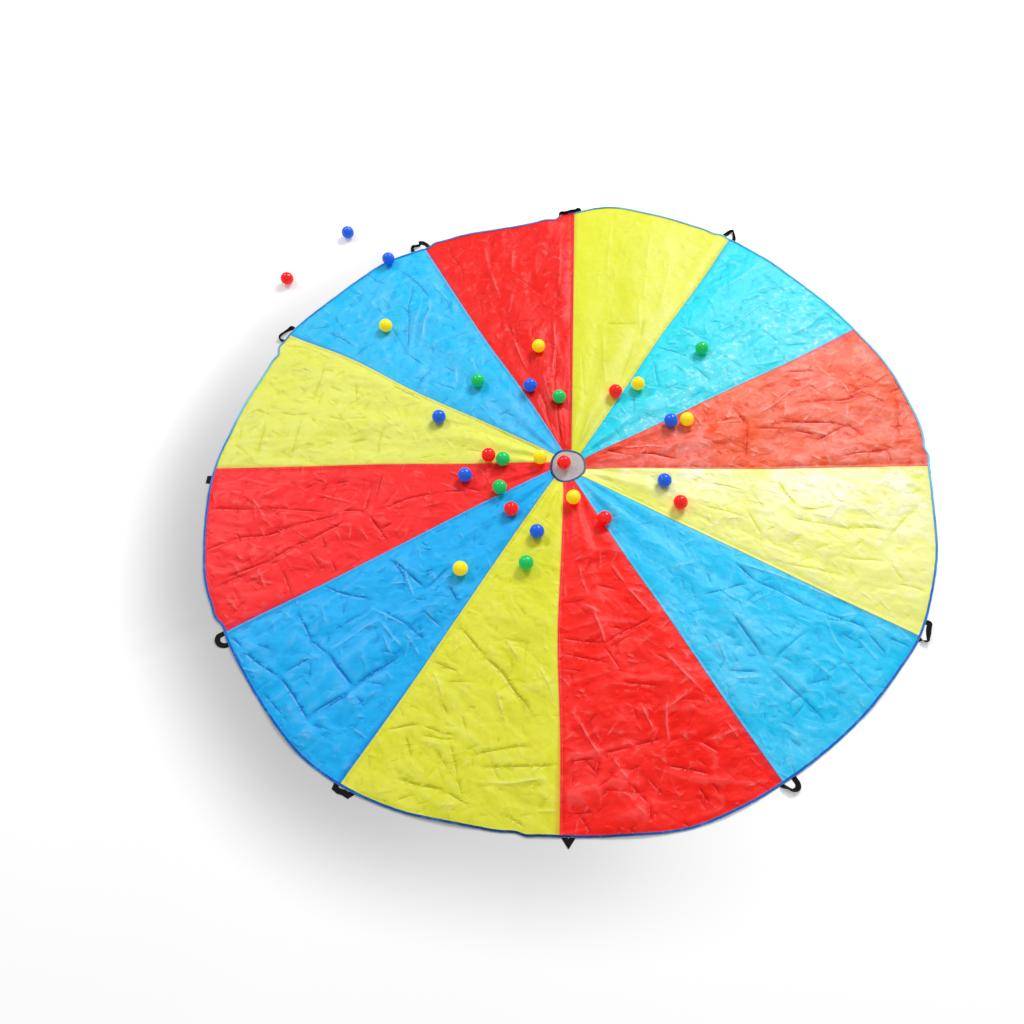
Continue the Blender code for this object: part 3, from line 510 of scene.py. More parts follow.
def smooth(share):
    """Ease from 0 to 1 as share goes from 0 to 1: 3 share squared less 2 share cubed."""
    share = np.clip(share, 0.0, 1.0)
    return share * share * (3 - 2 * share)


def curve(a, b, c, d, t):
    """A Catmull-Rom curve through four even values, read a share t of the way from b to c."""
    return b + t / 2 * (c - a + t * (2 * a - 5 * b + 4 * c - d + t * (3 * (b - c) + d - a)))


def read_round(table, hour):
    """Read a closed table of rows, one row to an hour, on a smooth curve through it."""
    values = np.ravel(table)
    place = (np.asarray(hour, float) % GORE_COUNT) * len(values) / GORE_COUNT
    first = np.floor(place).astype(int)
    near = (values[(first + step) % len(values)] for step in (-1, 0, 1, 2))
    return curve(*near, place - first)


def read_along(values, share):
    """Read a row of even values, from share 0 to share 1, on a smooth curve through them."""
    values = np.asarray(values, float)
    last = len(values) - 1
    place = np.asarray(share, float) * last
    first = np.clip(np.floor(place).astype(int), 0, last - 1)
    near = (values[np.clip(first + step, 0, last)] for step in (-1, 0, 1, 2))
    return curve(*near, place - first)


def rim_radius(hour):
    """Outer radius of the rim: the table's curve, with a step x exp(-x squared) at each corner."""
    radius = CANOPY_RADIUS * read_round(RIM_RADIUS_SHARES, hour)
    peak_to_peak = math.sqrt(2) * math.exp(-0.5)
    for corner, step, half_width in RIM_CORNERS:
        away = (np.asarray(hour, float) - corner + GORE_COUNT / 2) % GORE_COUNT - GORE_COUNT / 2
        x = away / half_width
        radius = radius + step / peak_to_peak * x * np.exp(-x * x)
    return radius


def hole_tape_radius(hour):
    """Outer radius of the hole's tape towards an hour."""
    return (HOLE_RADIUS + HOLE_TAPE_WIDTH) * read_round(HOLE_RADIUS_SHARES, hour)


def towards(hour):
    """Unit directions on the floor towards hours: sine along x and cosine along y."""
    angle = np.asarray(hour, float) * HOUR
    return np.stack((np.sin(angle), np.cos(angle)), axis=-1)


def seam_hour(seam, along):
    """Hours of points on a seam from its lean at the hole to its lean at the rim, with its bow."""
    rim_lean, hole_lean = SEAM_LEAN_SHARES[seam % GORE_COUNT]
    inner = towards(seam + hole_lean) * hole_tape_radius(seam + hole_lean)
    outer = towards(seam + rim_lean) * CANOPY_RADIUS * read_round(RIM_RADIUS_SHARES, seam + rim_lean)
    along = np.asarray(along, float)[..., None]
    aside = np.array((outer[1] - inner[1], inner[0] - outer[0])) / np.linalg.norm(outer - inner)
    bow = read_along((0.0, *SEAM_BOW_SHARES[seam % GORE_COUNT], 0.0), along)
    spot = inner + (outer - inner) * along + aside * bow * CANOPY_RADIUS
    hour = np.arctan2(spot[..., 0], spot[..., 1]) / HOUR
    return hour + GORE_COUNT * np.round((seam - hour) / GORE_COUNT)


def cloth_radius(hour, along):
    """Radius on the cloth, straight from the hole's tape to the inside of the rim's tape."""
    inner = hole_tape_radius(hour) + CLEARANCE
    outer = rim_radius(hour) - RIM_TAPE_WIDTH - HEM_MARGIN
    return inner + (outer - inner) * along


def fold_height(gore, across, along):
    """Height of a gore's main folds: cosine waves across it that swing to one side on the
    way out, tall at the hole, lower outside it and flat at the seams."""
    waves = FOLDS_PER_GORE * across + FOLD_START_SHARES[gore] + FOLD_SWING_SHARES[gore] * along
    wave = 0.5 - 0.5 * np.cos(2 * np.pi * waves)
    between_seams = np.sqrt(np.clip(np.sin(np.pi * np.clip(across, 0, 1)), 0.0, 1.0))
    tallness = FOLD_OPEN_SHARE + FOLD_GATHERED_SHARE * np.exp(-along / FOLD_FADE_SHARE)
    height = FOLD_HEIGHT * smooth(along / FOLD_RISE_SHARE) * tallness * wave * between_seams
    return np.clip(height - REST_CUT, 0.0, None)


def noise_table(seed):
    """A square table of random values between 0 and 1, drawn once from a seed."""
    return np.random.default_rng(seed).random((NOISE_CELLS, NOISE_CELLS))


def noise(x, y, table):
    """Value noise: the table's values at whole places, eased between them."""
    column, row = np.floor(x).astype(int), np.floor(y).astype(int)
    u, v = smooth(x - column), smooth(y - row)
    near, far = row % NOISE_CELLS, (row + 1) % NOISE_CELLS
    left, right = column % NOISE_CELLS, (column + 1) % NOISE_CELLS
    lower = table[near, left] * (1 - u) + table[near, right] * u
    upper = table[far, left] * (1 - u) + table[far, right] * u
    return lower * (1 - v) + upper * v


def photo_to_floor(view, x, y):
    """The place on the floor under a point of an enlarged view of the photograph."""
    left, top, enlargement = view
    focal = LENS / SENSOR * FRAME_PIXELS
    right = (left + x / enlargement - AXIS_PIXEL[0]) / focal
    up = (AXIS_PIXEL[1] - top - y / enlargement) / focal
    tilt = math.radians(CAMERA_ELEVATION)
    ray = np.array((
        right, math.cos(tilt) + up * math.sin(tilt), up * math.cos(tilt) - math.sin(tilt),
    ))
    place = np.array(CAMERA_PLACE)
    return (place - ray * place[2] / ray[2])[:2]


def gore_creases(gore):
    """Rows of height, half width and the two ends of a gore's creases: those read from the
    photograph, then short loose ones drawn at random in the gore's own direction."""
    rows = []
    for view, lines in CREASES[gore]:
        for units, x1, y1, x2, y2 in lines:
            ends = (*photo_to_floor(view, x1, y1), *photo_to_floor(view, x2, y2))
            rows.append((units * CREASE_UNIT, CREASE_WIDTH * (0.8 + abs(units) / 8), *ends))
    draw = np.random.default_rng(SEED * 100 + gore)
    strength, turn, _ = CRUMPLE_SHARES[gore]
    across = draw.random(LOOSE_CREASES)
    along = 0.06 + 0.94 * np.sqrt(draw.random(LOOSE_CREASES))
    start, end = seam_hour(gore, along), seam_hour(gore + 1, along)
    hour = start + (end - start) * across
    spots = towards(hour) * cloth_radius(hour, along)[:, None]
    angle = 2 * np.pi * (turn + 0.35 * (draw.random(LOOSE_CREASES) - 0.5))
    angle += np.where(draw.random(LOOSE_CREASES) < 0.35, np.pi / 2, 0.0)
    length = LOOSE_LENGTH + LOOSE_SPREAD * draw.random(LOOSE_CREASES) ** 2
    heights = strength * CREASE_UNIT * (0.8 + 2.4 * draw.random(LOOSE_CREASES) ** 2)
    heights *= np.where(draw.random(LOOSE_CREASES) < 0.5, -1.0, 1.0)
    widths = CREASE_WIDTH * (0.5 + 0.9 * draw.random(LOOSE_CREASES))
    half = np.stack((np.cos(angle), np.sin(angle)), axis=-1) * length[:, None] / 2
    loose = np.column_stack((heights, widths, spots - half, spots + half))
    return np.vstack((np.array(rows), loose))


def wandered(x, y):
    """Places shifted a little by broad noise, so that straight creases wander."""
    tables = [noise_table(SEED + 40 + side) for side in (0, 1)]
    u, v = x / CREASE_WANDER_SIZE + 20, y / CREASE_WANDER_SIZE + 20
    shift_x = CREASE_WANDER * (noise(u, v, tables[0]) - 0.5) * 2
    shift_y = CREASE_WANDER * (noise(u, v, tables[1]) - 0.5) * 2
    return x + shift_x, y + shift_y


def beside_crease(x, y, x1, y1, x2, y2):
    """Length and direction of a crease, and how far places lie along it and to its right."""
    length = math.hypot(x2 - x1, y2 - y1)
    ux, uy = (x2 - x1) / length, (y2 - y1) / length
    return length, ux, uy, (x - x1) * ux + (y - y1) * uy, (x - x1) * uy - (y - y1) * ux


def crease_height(gore, x, y):
    """Sum of a gore's creases at places: each is a ridge or valley with a sharp crest,
    exp(-distance / half width), that tapers away at its two ends."""
    total = np.zeros_like(x)
    x, y = wandered(x, y)
    for height, width, *line in gore_creases(gore):
        length, _, _, forward, aside = beside_crease(x, y, *line)
        aside = np.abs(aside)
        near = (aside < 7 * width) & (forward > -3 * width) & (forward < length + 3 * width)
        run, off = forward[near], aside[near]
        half, taper = 2.5 * width, 5 * width
        ends = smooth((run + half) / taper) * smooth((length + half - run) / taper)
        spread = width * (0.75 + 0.5 * np.clip(run / length, 0, 1))
        total[near] += height * ends * np.exp(-off / spread)
    return total


def crease_lines(gore, x, y):
    """For places on a gore, the distance to the nearest crease, above zero on the side towards
    the light, the force with which it shows, and how squarely it faces the light. The force is
    the crease's height as a share of full force, fading at its ends and away from it."""
    x, y = wandered(x, y)
    nearest = np.full(x.shape, CREASE_REACH)
    signed = np.full(x.shape, CREASE_REACH)
    force, facing_light = np.zeros_like(x), np.zeros_like(x)
    for height, _, *line in gore_creases(gore):
        length, ux, uy, forward, aside = beside_crease(x, y, *line)
        facing = uy * LIGHT_SIDE[0] - ux * LIGHT_SIDE[1]
        beyond = np.maximum(np.maximum(-forward, forward - length), 0)
        away = np.hypot(beyond, aside)
        closer = away < nearest
        share = np.clip(forward[closer] / length, 0, 1)
        ends = smooth(4 * share) * smooth(4 * (1 - share)) * (beyond[closer] == 0)
        hold = smooth((CREASE_REACH - away[closer]) / (CREASE_REACH - CREASE_HOLD))
        nearest[closer] = away[closer]
        signed[closer] = aside[closer] * (1 if facing > 0 else -1)
        force[closer] = height / CREASE_UNIT * ends * hold
        facing_light[closer] = abs(facing)
    return signed, force / FULL_FORCE, facing_light


def crumple_height(gore, x, y):
    """Crumpling: ridged value noise in four sizes, drawn out in the gore's own direction and
    bent by broader noise, so that sharp crests meet in a net of facets. The whole numbers that
    are added pick different parts of the noise."""
    strength, turn, drawn_out = CRUMPLE_SHARES[gore]
    angle = 2 * math.pi * turn
    u = x * math.cos(angle) + y * math.sin(angle)
    v = y * math.cos(angle) - x * math.sin(angle)
    bend = noise_table(SEED + 60 + gore)
    total = np.zeros_like(x)
    for level, (size, height) in enumerate(zip(CRUMPLE_SIZES, CRUMPLE_HEIGHTS)):
        table = noise_table(SEED * 7 + 20 * gore + level)
        sway = 0.9 * noise(u / size / 2 + 30, v / size / 2 + 30, bend)
        stretch = drawn_out if level else 1.2
        value = noise(u / size / stretch + sway + 17, v / size + 1.3 * sway + 29, table)
        other = noise(u / size / stretch + 47, v / size + sway + 11, table.T)
        crest = 1 - np.abs(2 * value - 1)
        valley = np.abs(2 * other - 1)
        total += strength * height * (crest ** 1.3 + 0.8 * valley - 0.9)
    return total


def pucker_height(seam, run, off):
    """Gathers along a seam: ridged noise along it that dies away on both sides."""
    table = noise_table(SEED + 300 + seam % GORE_COUNT)
    ripple = 1 - np.abs(2 * noise(run / PUCKER_PITCH + 5, off / PUCKER_REACH / 3 + 9, table) - 1)
    patch = noise(run / PUCKER_PITCH / 5 + 3, np.zeros_like(run) + 2.5, table)
    return PUCKER_HEIGHT * ripple * (0.3 + 1.2 * patch) * np.exp(-off / PUCKER_REACH)


def tuck_height(x, y):
    """Lift of the cloth over the loops tucked under the hem: a flat top with eased sides."""
    lift = np.zeros_like(x)
    for hour, line in HANDLE_SHARES.items():
        inward = -min(point[1] for point in line)
        if inward == 0:
            continue
        out = towards(hour)
        half = (line[-1][0] - line[0][0] + 1) * STRAP_WIDTH / 2
        deep = (inward + 1) * STRAP_WIDTH
        aside = np.abs(x * out[1] - y * out[0])
        inward = rim_radius(np.array(float(hour))) - (x * out[0] + y * out[1])
        beside = smooth(1 - (aside - half) / STRAP_WIDTH)
        behind = smooth(1 - (inward - deep) / STRAP_WIDTH)
        lift = np.maximum(lift, (STRAP_THICKNESS + CLEARANCE) * beside * behind)
    return lift


def cloth_height(gore, across, along, x, y):
    """Underside of the cloth: main folds, panel lift, creases and crumpling between the
    seams, gathers at the seams and the lift over tucked loops, kept off the floor."""
    radius = np.hypot(x, y)
    width = radius * HOUR * (seam_hour(gore + 1, along) - seam_hour(gore, along))
    inside = np.clip(across, 0, 1)
    off_start, off_end = width * inside, width * (1 - inside)
    off = np.minimum(off_start, off_end)
    inward = along * CANOPY_RADIUS
    outward = (1 - along) * CANOPY_RADIUS
    free = (1 - np.exp(-off / SEAM_FADE)) * smooth((inward + HOLE_LEAD) / (3 * SEAM_FADE))
    free = free * (1 - 0.8 * np.exp(-outward / RIM_FADE))
    rough = PANEL_LIFT + crease_height(gore, x, y) + crumple_height(gore, x, y)
    height = fold_height(gore, across, along) + free * rough
    edge = smooth(inward / SEAM_FADE)
    height = height + edge * pucker_height(gore, inward, off_start)
    height = height + edge * pucker_height(gore + 1, inward, off_end)
    height = height + tuck_height(x, y)
    soft = CLEARANCE
    lifted = soft * np.logaddexp(0, (height - FLOOR_GAP) / soft) + FLOOR_GAP
    return rest_under_balls(x, y, lifted)


def ball_centres():
    """Middle of each ball, from its CAD node's box."""
    centres = {}
    for name in frame["nodes"]:
        if name.startswith("ball_"):
            low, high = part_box(name)
            centres[name] = np.array((low + high) / 2)
    return centres


def rest_under_balls(x, y, height):
    """Bring the cloth to the underside of each ball near where it touches, and keep it
    below the ball's round all over."""
    for centre in BALL_CENTRES.values():
        away = np.hypot(x - centre[0], y - centre[1])
        near = away < 5 * BALL_RADIUS
        if not near.any():
            continue
        seat = centre[2] - BALL_RADIUS - SHEET_THICKNESS - CLEARANCE
        pull = np.exp(-(away[near] / (1.3 * BALL_RADIUS)) ** 2)
        level = height[near] * (1 - pull) + max(seat, FLOOR_GAP) * pull
        inner = np.clip(BALL_RADIUS ** 2 - away[near] ** 2, 0, None)
        under = centre[2] - np.sqrt(inner) - SHEET_THICKNESS - CLEARANCE
        height[near] = np.minimum(level, np.maximum(under, FLOOR_GAP))
    return height


BALL_CENTRES = ball_centres()


def box_mean(values, reach):
    """Mean of a grid over a square window, by running sums, with its edges repeated."""
    for axis in (0, 1):
        padding = [(0, 0), (0, 0)]
        padding[axis] = (reach + 1, reach)
        sums = np.cumsum(np.pad(values, padding, mode="edge"), axis=axis)
        wide = 2 * reach + 1
        upper = np.take(sums, range(wide, sums.shape[axis]), axis=axis)
        lower = np.take(sums, range(0, sums.shape[axis] - wide), axis=axis)
        values = (upper - lower) / wide
    return values


def grid_faces(rows, columns, wrap_rows=False, wrap_columns=False):
    """Corners of a grid's quads: here, next column, across, next row."""
    row = np.arange(rows if wrap_rows else rows - 1)[:, None]
    column = np.arange(columns if wrap_columns else columns - 1)[None, :]
    after_row, after_column = (row + 1) % rows, (column + 1) % columns
    corners = (
        row * columns + column, row * columns + after_column,
        after_row * columns + after_column, after_row * columns + column,
    )
    return np.stack(corners, axis=-1).reshape(-1, 4)


def closed_strip(rows, sides):
    """Faces of a strip of sections with this many sides, closed by a cap at both ends."""
    first_cap, last_cap = np.arange(sides), np.arange((rows - 1) * sides, rows * sides)[::-1]
    return [grid_faces(rows, sides, wrap_columns=True), first_cap[None, :], last_cap[None, :]]


def outward(points, faces):
    """Turn the faces of a closed shape outwards: its volume, from each face's fan of
    triangles to the origin, has to come out above zero."""
    volume = 0.0
    for corners in faces:
        first = points[corners[:, 0]]
        for step in range(1, corners.shape[1] - 1):
            second, third = points[corners[:, step]], points[corners[:, step + 1]]
            volume += np.einsum("ij,ij->i", first, np.cross(second, third)).sum()
    return faces if volume > 0 else [corners[:, ::-1] for corners in faces]


def make_object(name, points, faces, finish, uv=None, values=None):
    """A smooth object from arrays of points and faces, with its finish, UV and values."""
    mesh = bpy.data.meshes.new(name)
    mesh.vertices.add(len(points))
    mesh.vertices.foreach_set("co", np.ravel(points).astype(np.float32))
    corners = np.concatenate([np.ravel(part) for part in faces])
    sizes = np.concatenate([np.full(len(part), part.shape[1]) for part in faces])
    starts = np.concatenate(([0], np.cumsum(sizes)[:-1]))
    mesh.loops.add(len(corners))
    mesh.loops.foreach_set("vertex_index", corners.astype(np.int32))
    mesh.polygons.add(len(sizes))
    mesh.polygons.foreach_set("loop_start", starts.astype(np.int32))
    mesh.update(calc_edges=True)
    mesh.polygons.foreach_set("use_smooth", np.ones(len(sizes), bool))
    if uv is not None:
        layer = mesh.uv_layers.new(name="cloth")
        layer.data.foreach_set("uv", np.ravel(uv[corners]).astype(np.float32))
    for value_name, value in (values or {}).items():
        attribute = mesh.attributes.new(value_name, "FLOAT", "POINT")
        attribute.data.foreach_set("value", np.ravel(value).astype(np.float32))
    mesh.validate()
    mesh.materials.append(finish)
    made = bpy.data.objects.new(name, mesh)
    bpy.context.scene.collection.objects.link(made)
    return made


def make_piece(name, points, faces, finish, slot, replaced, uv=None, values=None):
    """A piece of the part: its object, and the CAD nodes that it replaces, which it hides. The slot is not
    used.
    """
    piece = make_object(name, points, faces, finish, uv, values)
    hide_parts(*replaced)
    return piece


class Number:
    """A number socket of a finish: sums written with it add Math nodes."""

    def __init__(self, finish, socket):
        self.finish = finish
        self.socket = socket

    def maths(self, operation, *values):
        node = self.finish.node("ShaderNodeMath", {"operation": operation}, dict(enumerate(values)))
        return Number(self.finish, node.outputs[0])

    def __add__(self, other):
        return self.maths("ADD", self, other)

    def __radd__(self, other):
        return self.maths("ADD", other, self)

    def __sub__(self, other):
        return self.maths("SUBTRACT", self, other)

    def __rsub__(self, other):
        return self.maths("SUBTRACT", other, self)

    def __mul__(self, other):
        return self.maths("MULTIPLY", self, other)

    def __rmul__(self, other):
        return self.maths("MULTIPLY", other, self)

    def __truediv__(self, other):
        return self.maths("DIVIDE", self, other)

    def __rtruediv__(self, other):
        return self.maths("DIVIDE", other, self)

    def __abs__(self):
        return self.maths("ABSOLUTE", self)

    def sine(self):
        return self.maths("SINE", self)

    def part(self):
        """What is left of the number above the whole one below it."""
        return self.maths("FRACT", self)

    def below(self, limit):
        """1 where the number is under the limit, and 0 elsewhere."""
        return self.maths("LESS_THAN", self, limit)

    def eased(self, low, high):
        """0 at low, 1 at high, and eased between them."""
        node = self.finish.node(
            "ShaderNodeMapRange", {"interpolation_type": "SMOOTHSTEP"},
            {"Value": self, "From Min": low, "From Max": high},
        )
        return Number(self.finish, node.outputs["Result"])


class Finish:
    """A material built up from nodes in front of one Principled shader."""

    def __init__(self, name, **constants):
        self.material = bpy.data.materials.new(name)
        self.material.use_nodes = True
        self.tree = self.material.node_tree
        self.shader = self.tree.nodes["Principled BSDF"]
        for socket, value in constants.items():
            self.set(self.shader, socket.replace("_", " "), value)

    def set(self, node, socket, value):
        """Put a value, a Number or another socket into a node's socket."""
        target = node.inputs[socket]
        if isinstance(value, Number):
            value = value.socket
        if isinstance(value, bpy.types.NodeSocket):
            self.tree.links.new(value, target)
        elif isinstance(value, tuple) and len(value) == 3 and len(target.default_value) == 4:
            target.default_value = (*value, 1.0)
        else:
            target.default_value = value

    def node(self, kind, settings=None, sockets=None):
        """Add a node: its settings first, then the values or links of its sockets."""
        node = self.tree.nodes.new(kind)
        for name, value in (settings or {}).items():
            setattr(node, name, value)
        for socket, value in (sockets or {}).items():
            self.set(node, socket, value)
        return node

    def places(self):
        """Places on the piece in metres."""
        return self.node("ShaderNodeTexCoord").outputs["Object"]

    def value(self, name):
        """A value kept on the mesh."""
        node = self.node("ShaderNodeAttribute", {"attribute_name": name})
        return Number(self, node.outputs["Fac"])

    def split(self, vector):
        """The three numbers of a vector."""
        node = self.node("ShaderNodeSeparateXYZ", None, {"Vector": vector})
        return [Number(self, output) for output in node.outputs]

    def uv(self):
        """The piece's own two lengths in metres, across and along it."""
        return self.split(self.node("ShaderNodeUVMap", {"uv_map": "cloth"}).outputs["UV"])[:2]

    def noise(self, places, per_metre, detail, roughness=0.5, stretch=None):
        """Noise between 0 and 1, about as many lumps to the metre as asked for."""
        if stretch:
            places = self.vector("MULTIPLY", {0: places, 1: stretch})
        node = self.node("ShaderNodeTexNoise", None, {
            "Vector": places, "Scale": per_metre, "Detail": detail, "Roughness": roughness,
        })
        return Number(self, node.outputs["Fac"])

    def turned(self, places, turn, drawn_out):
        """Places turned about the upright by a share of a turn, then drawn out along it and
        bent by noise."""
        node = self.node("ShaderNodeVectorRotate", {"rotation_type": "Z_AXIS"}, {
            "Vector": places, "Angle": -2 * math.pi * turn,
        })
        drawn = self.vector("MULTIPLY", {0: node.outputs[0], 1: (1 / drawn_out, 1.0, 0.0)})
        bend = self.node("ShaderNodeTexNoise", None, {"Vector": places, "Scale": 9.0, "Detail": 2.0})
        return self.vector("ADD", {0: drawn, 1: self.scaled(bend.outputs[1], 0.09)})

    def facets(self, places, per_metre):
        """Distance to the edge of the nearest of many flat facets, in shares of a facet."""
        node = self.node(
            "ShaderNodeTexVoronoi", {"feature": "DISTANCE_TO_EDGE", "voronoi_dimensions": "2D"},
            {"Vector": places, "Scale": per_metre},
        )
        return Number(self, node.outputs["Distance"])

    def mix(self, share, first, second):
        """A colour between two others."""
        node = self.node("ShaderNodeMix", {"data_type": "RGBA"}, {"Factor": share})
        self.set(node, 6, first)
        self.set(node, 7, second)
        return node.outputs[2]

    def vector(self, operation, sockets):
        """A vector or a colour worked out from others."""
        return self.node("ShaderNodeVectorMath", {"operation": operation}, sockets).outputs[0]

    def scaled(self, colour, share):
        """A vector made longer or shorter, or a colour lighter or darker."""
        return self.vector("SCALE", {0: colour, "Scale": share})

    def bump(self, height, distance, strength=1.0):
        """A normal raised by a height between 0 and 1, which stands for that distance."""
        node = self.node("ShaderNodeBump", None, {
            "Height": height, "Distance": distance, "Strength": strength,
        })
        return node.outputs["Normal"]

    def finish(self, colour, roughness, normal):
        """Feed the shader and hand over the material."""
        self.set(self.shader, "Base Color", colour)
        self.set(self.shader, "Roughness", roughness)
        self.set(self.shader, "Normal", normal)
        return self.material


def linear(colour):
    """An 8-bit colour as the linear values that a shader takes."""
    shares = [value / 255 for value in colour]
    return tuple(s / 12.92 if s <= 0.04045 else ((s + 0.055) / 1.055) ** 2.4 for s in shares)


def tinted(colour, towards_colour, share):
    """A colour part of the way to another."""
    return tuple(a + (b - a) * share for a, b in zip(colour, towards_colour))


def cloth_finish(name, colour, gore):
    """Shiny coated polyester. Its creases are thin lines, with painted shade in the valleys and
    painted light on the crests, and a bright side and a dark one from bumps and from painted light and
    shade. Where its painted sheen is strong its colour is richer near the hole, and it has painted sheen
    in paler patches, painted glints, flat facets, a plain weave, a band of another colour beside its
    start seam, and stitching on its lap."""
    thread_pitch, stitch_pitch, row_half, relief = 0.0011, 0.0042, 0.00055, 0.0016
    seam_band, band_spread = 0.006, 0.022
    strength, turn, drawn_out = CRUMPLE_SHARES[gore]
    glare = GLARE_SHARES[gore]
    finish = Finish(name, Specular_IOR_Level=0.16, Coat_Weight=0.04, Coat_Roughness=0.18)
    places = finish.places()
    across, along = finish.uv()
    fold = finish.value("fold")
    force = finish.value("force")
    crease = finish.value("crease")
    crest = abs(crease).eased(CREASE_LINE, 0.0)
    slope = 1 - abs(crease) / CREASE_REACH
    towards_light = (crease / CREASE_TURN).eased(-1.0, 1.0) * 2.0 - 1.0
    side = force * slope * towards_light * (0.35 + 0.65 * finish.value("facing"))
    base = linear(colour)
    strongest = max(base)
    rich = tuple(value * (value / strongest) ** (0.4 + 2.0 * glare) for value in base)
    # Colours of painted shade (deep) and of painted light (pale)
    deep = tuple((0.70 + 0.65 * glare) * value for value in rich)
    pale = tinted(base, WHITE, 0.12 + 1.4 * glare)
    patches = finish.noise(places, 3.1, 3.0)
    specks = finish.noise(places, 46.0, 4.0, 0.6)
    turned = finish.turned(places, turn, drawn_out)
    edges, fine_edges = (finish.facets(turned, per_metre) for per_metre in FACETS_PER_METRE)
    painted_light_tones = finish.noise(turned, 9.0, 3.0, 0.5)
    streaks = finish.noise(turned, 30.0, 3.0, 0.55)
    flat = 1 - crest * abs(force).eased(0.1, 0.7)
    # Painted sheen: paler patches, kept off the crease lines and leaning to one seam
    shine = patches.eased(0.38, 0.56) * 0.45 + painted_light_tones.eased(0.44, 0.60) * 0.40
    shine = shine + streaks.eased(0.44, 0.66) * 0.35
    start = finish.value("start")
    lean = (start / (start + across)).eased(0.1, 0.9) * 2.0 - 1.0
    shine = shine * (1 + GLARE_LEANS[gore] * lean)
    # Where the painted sheen is strong, the colour turns richer towards the hole, away from the sheen
    toned = finish.mix(along.eased(0.75, 0.05) * min(0.7, 5.0 * glare), base, rich)
    toned = finish.mix(shine * flat * glare, toned, tinted(base, WHITE, 0.75))
    broken = 0.35 + 0.65 * specks.eased(0.36, 0.56)
    # Painted shade: in the valleys of folds, along the lines of sunk creases and on the side of each
    # crease away from the light; also darker streaks along the crumpling
    valley = fold.eased(0.0, -1.0) * 0.42 + (force * -1.0).eased(0.0, 0.9) * crest * broken * 0.65
    valley = valley + (side * -1.0).eased(0.0, 0.8) * 0.55
    valley = valley + streaks.eased(0.46, 0.34) * (0.18 * strength)
    shaded = finish.mix(valley, toned, deep)
    # Painted light: on the crests of folds, along the lines of raised creases and on the side of each
    # crease towards the light
    lit = fold.eased(0.2, 1.0) * 0.25 + force.eased(0.0, 0.9) * crest * broken * 0.55
    lit = lit + side.eased(0.0, 0.8) * 0.45
    wear_and_painted_light = finish.mix(lit, shaded, pale)
    # Painted glints: small near-white spots in the sheen
    glints = specks.eased(0.48, 0.66) * streaks.eased(0.40, 0.60) * shine * GLINT_SHARES[gore]
    wear_and_painted_light = finish.mix(glints, wear_and_painted_light, tinted(base, WHITE, 0.65))
    mottled = finish.scaled(wear_and_painted_light, 0.90 + 0.10 * patches + 0.10 * specks)
    # A band of the seam's colour beside the start seam, widening towards the rim
    band = (start - SEAM_LAP) / (seam_band + band_spread * along.eased(0.9, 1.45))
    beside_seam = band.eased(1.0, 0.0) * 0.75
    edged = finish.mix(beside_seam, mottled, linear(SEAM_COLOURS[gore]))
    first_row = abs(across - 0.2 * SEAM_LAP).below(row_half)
    second_row = abs(across - 0.75 * SEAM_LAP).below(row_half)
    stitch = (along / stitch_pitch).part().below(0.72)
    thread = (first_row + second_row) * stitch
    sewn = finish.mix(thread * 0.5, edged, tinted(base, WHITE, 0.35))
    turn = 2 * math.pi / thread_pitch
    weave = (across * turn).sine() * (along * turn).sine()
    crinkle = finish.noise(turned, 38.0, 4.0, 0.55)
    tilt, fine_tilt = [FACET_TILT * strength / per_metre / relief for per_metre in FACETS_PER_METRE]
    height = edges * tilt + fine_edges * (0.7 * fine_tilt)
    height = height + force * slope * 1.3 + force * crest * 0.25
    height = height + crinkle * (0.9 * strength) + streaks * (0.6 * strength)
    height = height + weave * 0.03 + thread * 0.35
    rough = 0.34 + 0.10 * patches + 0.06 * specks
    return finish.finish(sewn, rough, finish.bump(height, relief, 0.8))


def tape_finish(name, colours, width):
    """Woven tape between three colours by painted light and shade from -1 to 1, with some tone at
    random: ribs across it, a stitched row near its inner edge and rubbed pale places."""
    rib_pitch, stitch_pitch, row_half, relief = 0.0012, 0.0040, 0.0005, 0.0006
    finish = Finish(name, Specular_IOR_Level=0.15)
    places = finish.places()
    across, along = finish.uv()
    wear = finish.noise(places, 24.0, 4.0, 0.65)
    # Painted light and shade kept on the mesh, with tone at random from noise
    tone = finish.value("tone") + (finish.noise(places, 9.0, 3.0) - 0.5)
    dark, middle, pale = (linear(colour) for colour in colours)
    base = finish.mix(tone.eased(-1.0, 0.0), dark, middle)
    base = finish.mix(tone.eased(0.0, 1.0), base, pale)
    rubbed = finish.mix(wear.eased(0.52, 0.75) * 0.2, base, tinted(pale, WHITE, 0.2))
    row = abs(across - 0.75 * width).below(row_half)
    thread = row * (along / stitch_pitch).part().below(0.7)
    sewn = finish.mix(thread * 0.5, rubbed, tinted(pale, WHITE, 0.3))
    ribs = (along * (2 * math.pi / rib_pitch)).sine() * 0.5 + 0.5
    height = ribs * 0.4 + thread * 0.7 + wear * 0.6
    return finish.finish(sewn, 0.55 + 0.2 * wear, finish.bump(height, relief, 0.6))


def webbing_finish():
    """Black woven webbing: ribs across, a woven edge, and grey lint on the raised threads."""
    rib_pitch, relief = 0.0016, 0.0006
    black, grey, wear_and_painted_light = (linear(colour) for colour in WEBBING_COLOURS)
    finish = Finish("black_webbing_woven", Specular_IOR_Level=0.2)
    places = finish.places()
    across, along = finish.uv()
    lint = finish.noise(places, 90.0, 5.0, 0.7)
    turn = 2 * math.pi / rib_pitch
    ribs = (along * turn).sine() * (across * turn).sine() * 0.5 + 0.5
    edge = abs(across - STRAP_WIDTH / 2).eased(0.42 * STRAP_WIDTH, 0.5 * STRAP_WIDTH)
    dark = finish.mix(lint.eased(0.55, 0.85) * 0.5, black, grey)
    colour = finish.mix(edge * 0.3, dark, wear_and_painted_light)
    return finish.finish(colour, 0.6 + 0.25 * lint, finish.bump(ribs * 0.8 + lint * 0.4, relief, 0.8))


